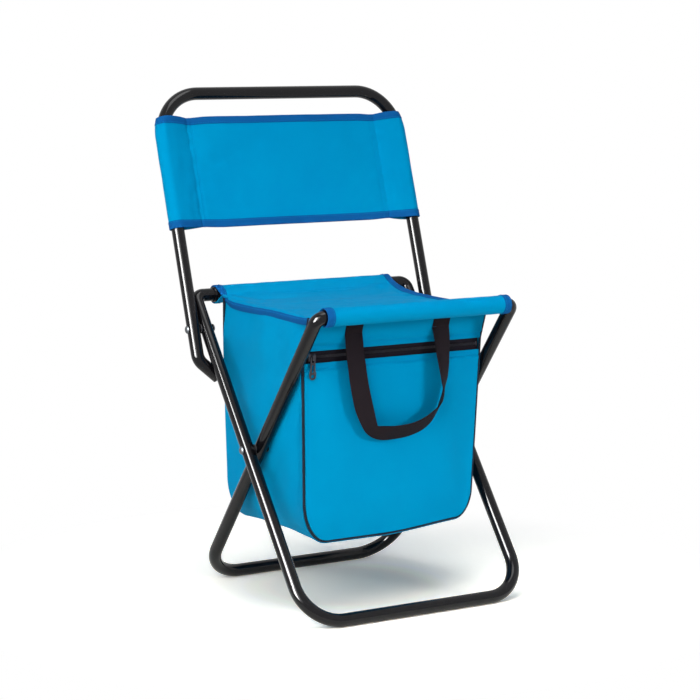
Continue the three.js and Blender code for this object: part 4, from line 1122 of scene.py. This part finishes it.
def handleEnd(label, side):
    half, hinge, width = handleSizes["half"], handleSizes["hinge"], handleSizes["width"]

    def patch(u, v):
        h = hinge + 0.05 + v * handleSizes["anchor"]
        return Vector((side * half + (u - 0.5) * width, -1.2 - stripReach(h) - 0.25 * hump(v, 0.0, 0.2), h))

    webbingPiece(laidCloth(10, 12, patch, (25, 11.4), handleSizes["thick"]), label + "HandleEnd", 0.4, bagFront,
                 "handle_end_" + label)
    # a sewn box with a cross in it
    reach, low, high = handleSizes["sewn"]
    corners = [(-reach, low), (reach, low), (reach, high), (-reach, high), (-reach, low)]
    lines = []
    for a, b in [*zip(corners, corners[1:]), (corners[0], corners[2]), (corners[1], corners[3])]:
        row = [(side * half + x, hinge + 0.9 + h) for x, h in zip(spaced(a[0], b[0], 8), spaced(a[1], b[1], 8))]
        lines.append([(Vector((x, -2.05 - stripReach(h), h)), (0, -1, -0.3)) for x, h in row])
    sewn(label + "HandleStitches", lines, bagFront, blackThread)


def carryHandle():
    half, out, down = handleSizes["half"], handleSizes["standOff"], handleSizes["drop"]
    posts = [Vector((a * half, -b * out, handleSizes["hinge"] - c * down)) for a, b, c, _ in handleShares]
    route = Route(throughPoints(posts))

    def leanAt(share):
        k = min(bisect_right(route.lengths, share * route.length), len(route.lengths) - 1)
        mark = max(k - 1, 0) / handleSteps
        before = min(int(mark), len(handleShares) - 2)
        return blend(handleShares[before][3], handleShares[before + 1][3], mark - before) * handleSizes["lean"]

    def flatPlace(u, v):
        way, turn = route.way(v), leanAt(v)
        side = Vector((-way.z, 0, way.x)).normalized() * cos(turn) - Vector((0, sin(turn), 0))
        cup = 0.35 * (2 * u - 1) ** 2
        return route.at(v) + side * (u - 0.5) * handleSizes["width"] + side.cross(way).normalized() * cup

    # the webbing buckles where it turns at the lower left, so its inner edge meets in a corner
    first, last = (route.lengths[handleSteps * mark] / route.length for mark in handleSizes["buckle"])
    before, after = flatPlace(1, first), flatPlace(1, last)
    sinking, along = before - flatPlace(1, first - 0.01), flatPlace(1, last + 0.01) - after
    reach = (((after.x - before.x) * along.z - (after.z - before.z) * along.x)
             / (sinking.x * along.z - sinking.z * along.x))
    corner = before + sinking * reach

    def place(u, v):
        laid = flatPlace(u, v)
        if not first < v < last:
            return laid
        share, middle = (v - first) / (last - first), flatPlace(0.5, v)
        if u < 0.5:
            return middle + (laid - middle) * (1 - 0.22 * sin(pi * share) ** 2)
        edge = before.lerp(corner, share * 2) if share < 0.5 else corner.lerp(after, share * 2 - 1)
        return middle + (edge - middle) * (u - 0.5) * 2

    loop = webbingPiece(laidCloth(10, 260, place, (25, route.length), handleSizes["thick"]), "carryHandleWebbing",
                        0.45, (bagFrontFrame, "handle"), "carry_handle")
    handleEnd("left", -1)
    handleEnd("right", 1)


carryHandle()
print("handle sewn")


# Stage and lamps
def seenDirectly(tree):
    # 1 for what the camera, gloss and glass see, and 0 for the light that falls on the stool
    paths = addNode(tree, "LightPath").outputs
    seen = addNode(tree, "Math", {0: paths["Is Camera Ray"], 1: paths["Is Glossy Ray"]}).outputs[0]
    return addNode(tree, "Math", {0: seen, 1: paths["Is Transmission Ray"]}).outputs[0]


def studioFloor():
    deselect()
    bpy.ops.mesh.primitive_circle_add(vertices=96, radius=6, fill_type="NGON")
    floor = bpy.context.object
    floor.name = "studioFloor"
    material, tree, shader = newMaterial("white studio floor", {"Specular IOR Level": 0.1, "Roughness": 0.9,
                                                                "Base Color": fromHex("#fbf3e4")})
    place = addNode(tree, "TexCoord").outputs["Object"]
    grain = addNode(tree, "TexNoise", {"Vector": place, "Scale": 300}).outputs["Fac"]
    addNode(tree, "Bump", {"Height": grain, "Strength": 0.05, "Distance": 0.0005}, shader.inputs["Normal"])
    seen = seenDirectly(tree)
    far = addNode(tree, "VectorMath", {0: place}, operation="LENGTH").outputs["Value"]
    shares = []
    # away from the stool the floor is first paler, then plain white where it is seen
    for start, end, full in ((0.25, 0.5, 1.0), (0.08, 0.2, 0.7)):
        reached = addNode(tree, "MapRange", {"Value": far, "From Min": start, "From Max": end, "To Max": full},
                          interpolation_type="SMOOTHSTEP").outputs["Result"]
        shares.append(addNode(tree, "Math", {0: reached, 1: seen}, operation="MULTIPLY").outputs[0])
    warmer = addNode(tree, "Mix", {"Factor": shares[1], "A": (0, 0, 0, 1), "B": fromHex("#fffbf0")},
                     data_type="RGBA")
    extra = addNode(tree, "BsdfDiffuse", {"Color": warmer.outputs["Result"]})
    near = addNode(tree, "AddShader", {0: shader.outputs[0], 1: extra.outputs[0]})
    glow = addNode(tree, "Emission", {"Strength": 1.0})
    addNode(tree, "MixShader", {"Fac": shares[0], 1: near.outputs[0], 2: glow.outputs[0]},
            tree.nodes["Material Output"].inputs["Surface"])
    floor.data.materials.append(material)


def studioWorld():
    world = bpy.data.worlds.new("studioWorld")
    bpy.context.scene.world = world
    world.use_nodes = True
    tree = world.node_tree
    background = tree.nodes["Background"]
    seen = seenDirectly(tree)
    addNode(tree, "MapRange", {"Value": seen, "To Min": 0.24, "To Max": 1.0}, background.inputs["Strength"])
    tint = addNode(tree, "Mix", {"Factor": seen, "A": (0.78, 0.96, 1.24, 1), "B": (1, 1, 1, 1)},
                   data_type="RGBA")
    tree.links.new(tint.outputs["Result"], background.inputs["Color"])


def lamp(name, place, target, size, power, spread=180, diffuse=True, glossy=True):
    deselect()
    bpy.ops.object.light_add(type="AREA", location=place)
    light = bpy.context.object
    light.name = name
    light.data.shape = "RECTANGLE"
    light.data.size, light.data.size_y = size
    light.data.energy = power
    light.data.spread = radians(spread)
    light.rotation_euler = (Vector(target) - Vector(place)).to_track_quat("-Z", "Y").to_euler()
    light.visible_camera = False
    light.visible_diffuse = diffuse
    light.visible_glossy = glossy


studioFloor()
studioWorld()
lamp("keySoftbox", (-1.6, -0.95, 1.15), (0, 0, 0.22), (1.4, 1.4), 38)
lamp("griddedSoftbox", (1.15, -1.95, 0.7), (0.02, 0, 0.1), (0.7, 0.7), 0.75, spread=17, glossy=False)
lamp("topSoftbox", (0.0, -0.5, 2.5), (0, 0, 0), (1.2, 1.2), 20)
lamp("tubeSoftbox", (-2.75, -0.95, 1.3), (0, 0, 0.3), (1.3, 2.2), 560, diffuse=False)
print("stage lit")
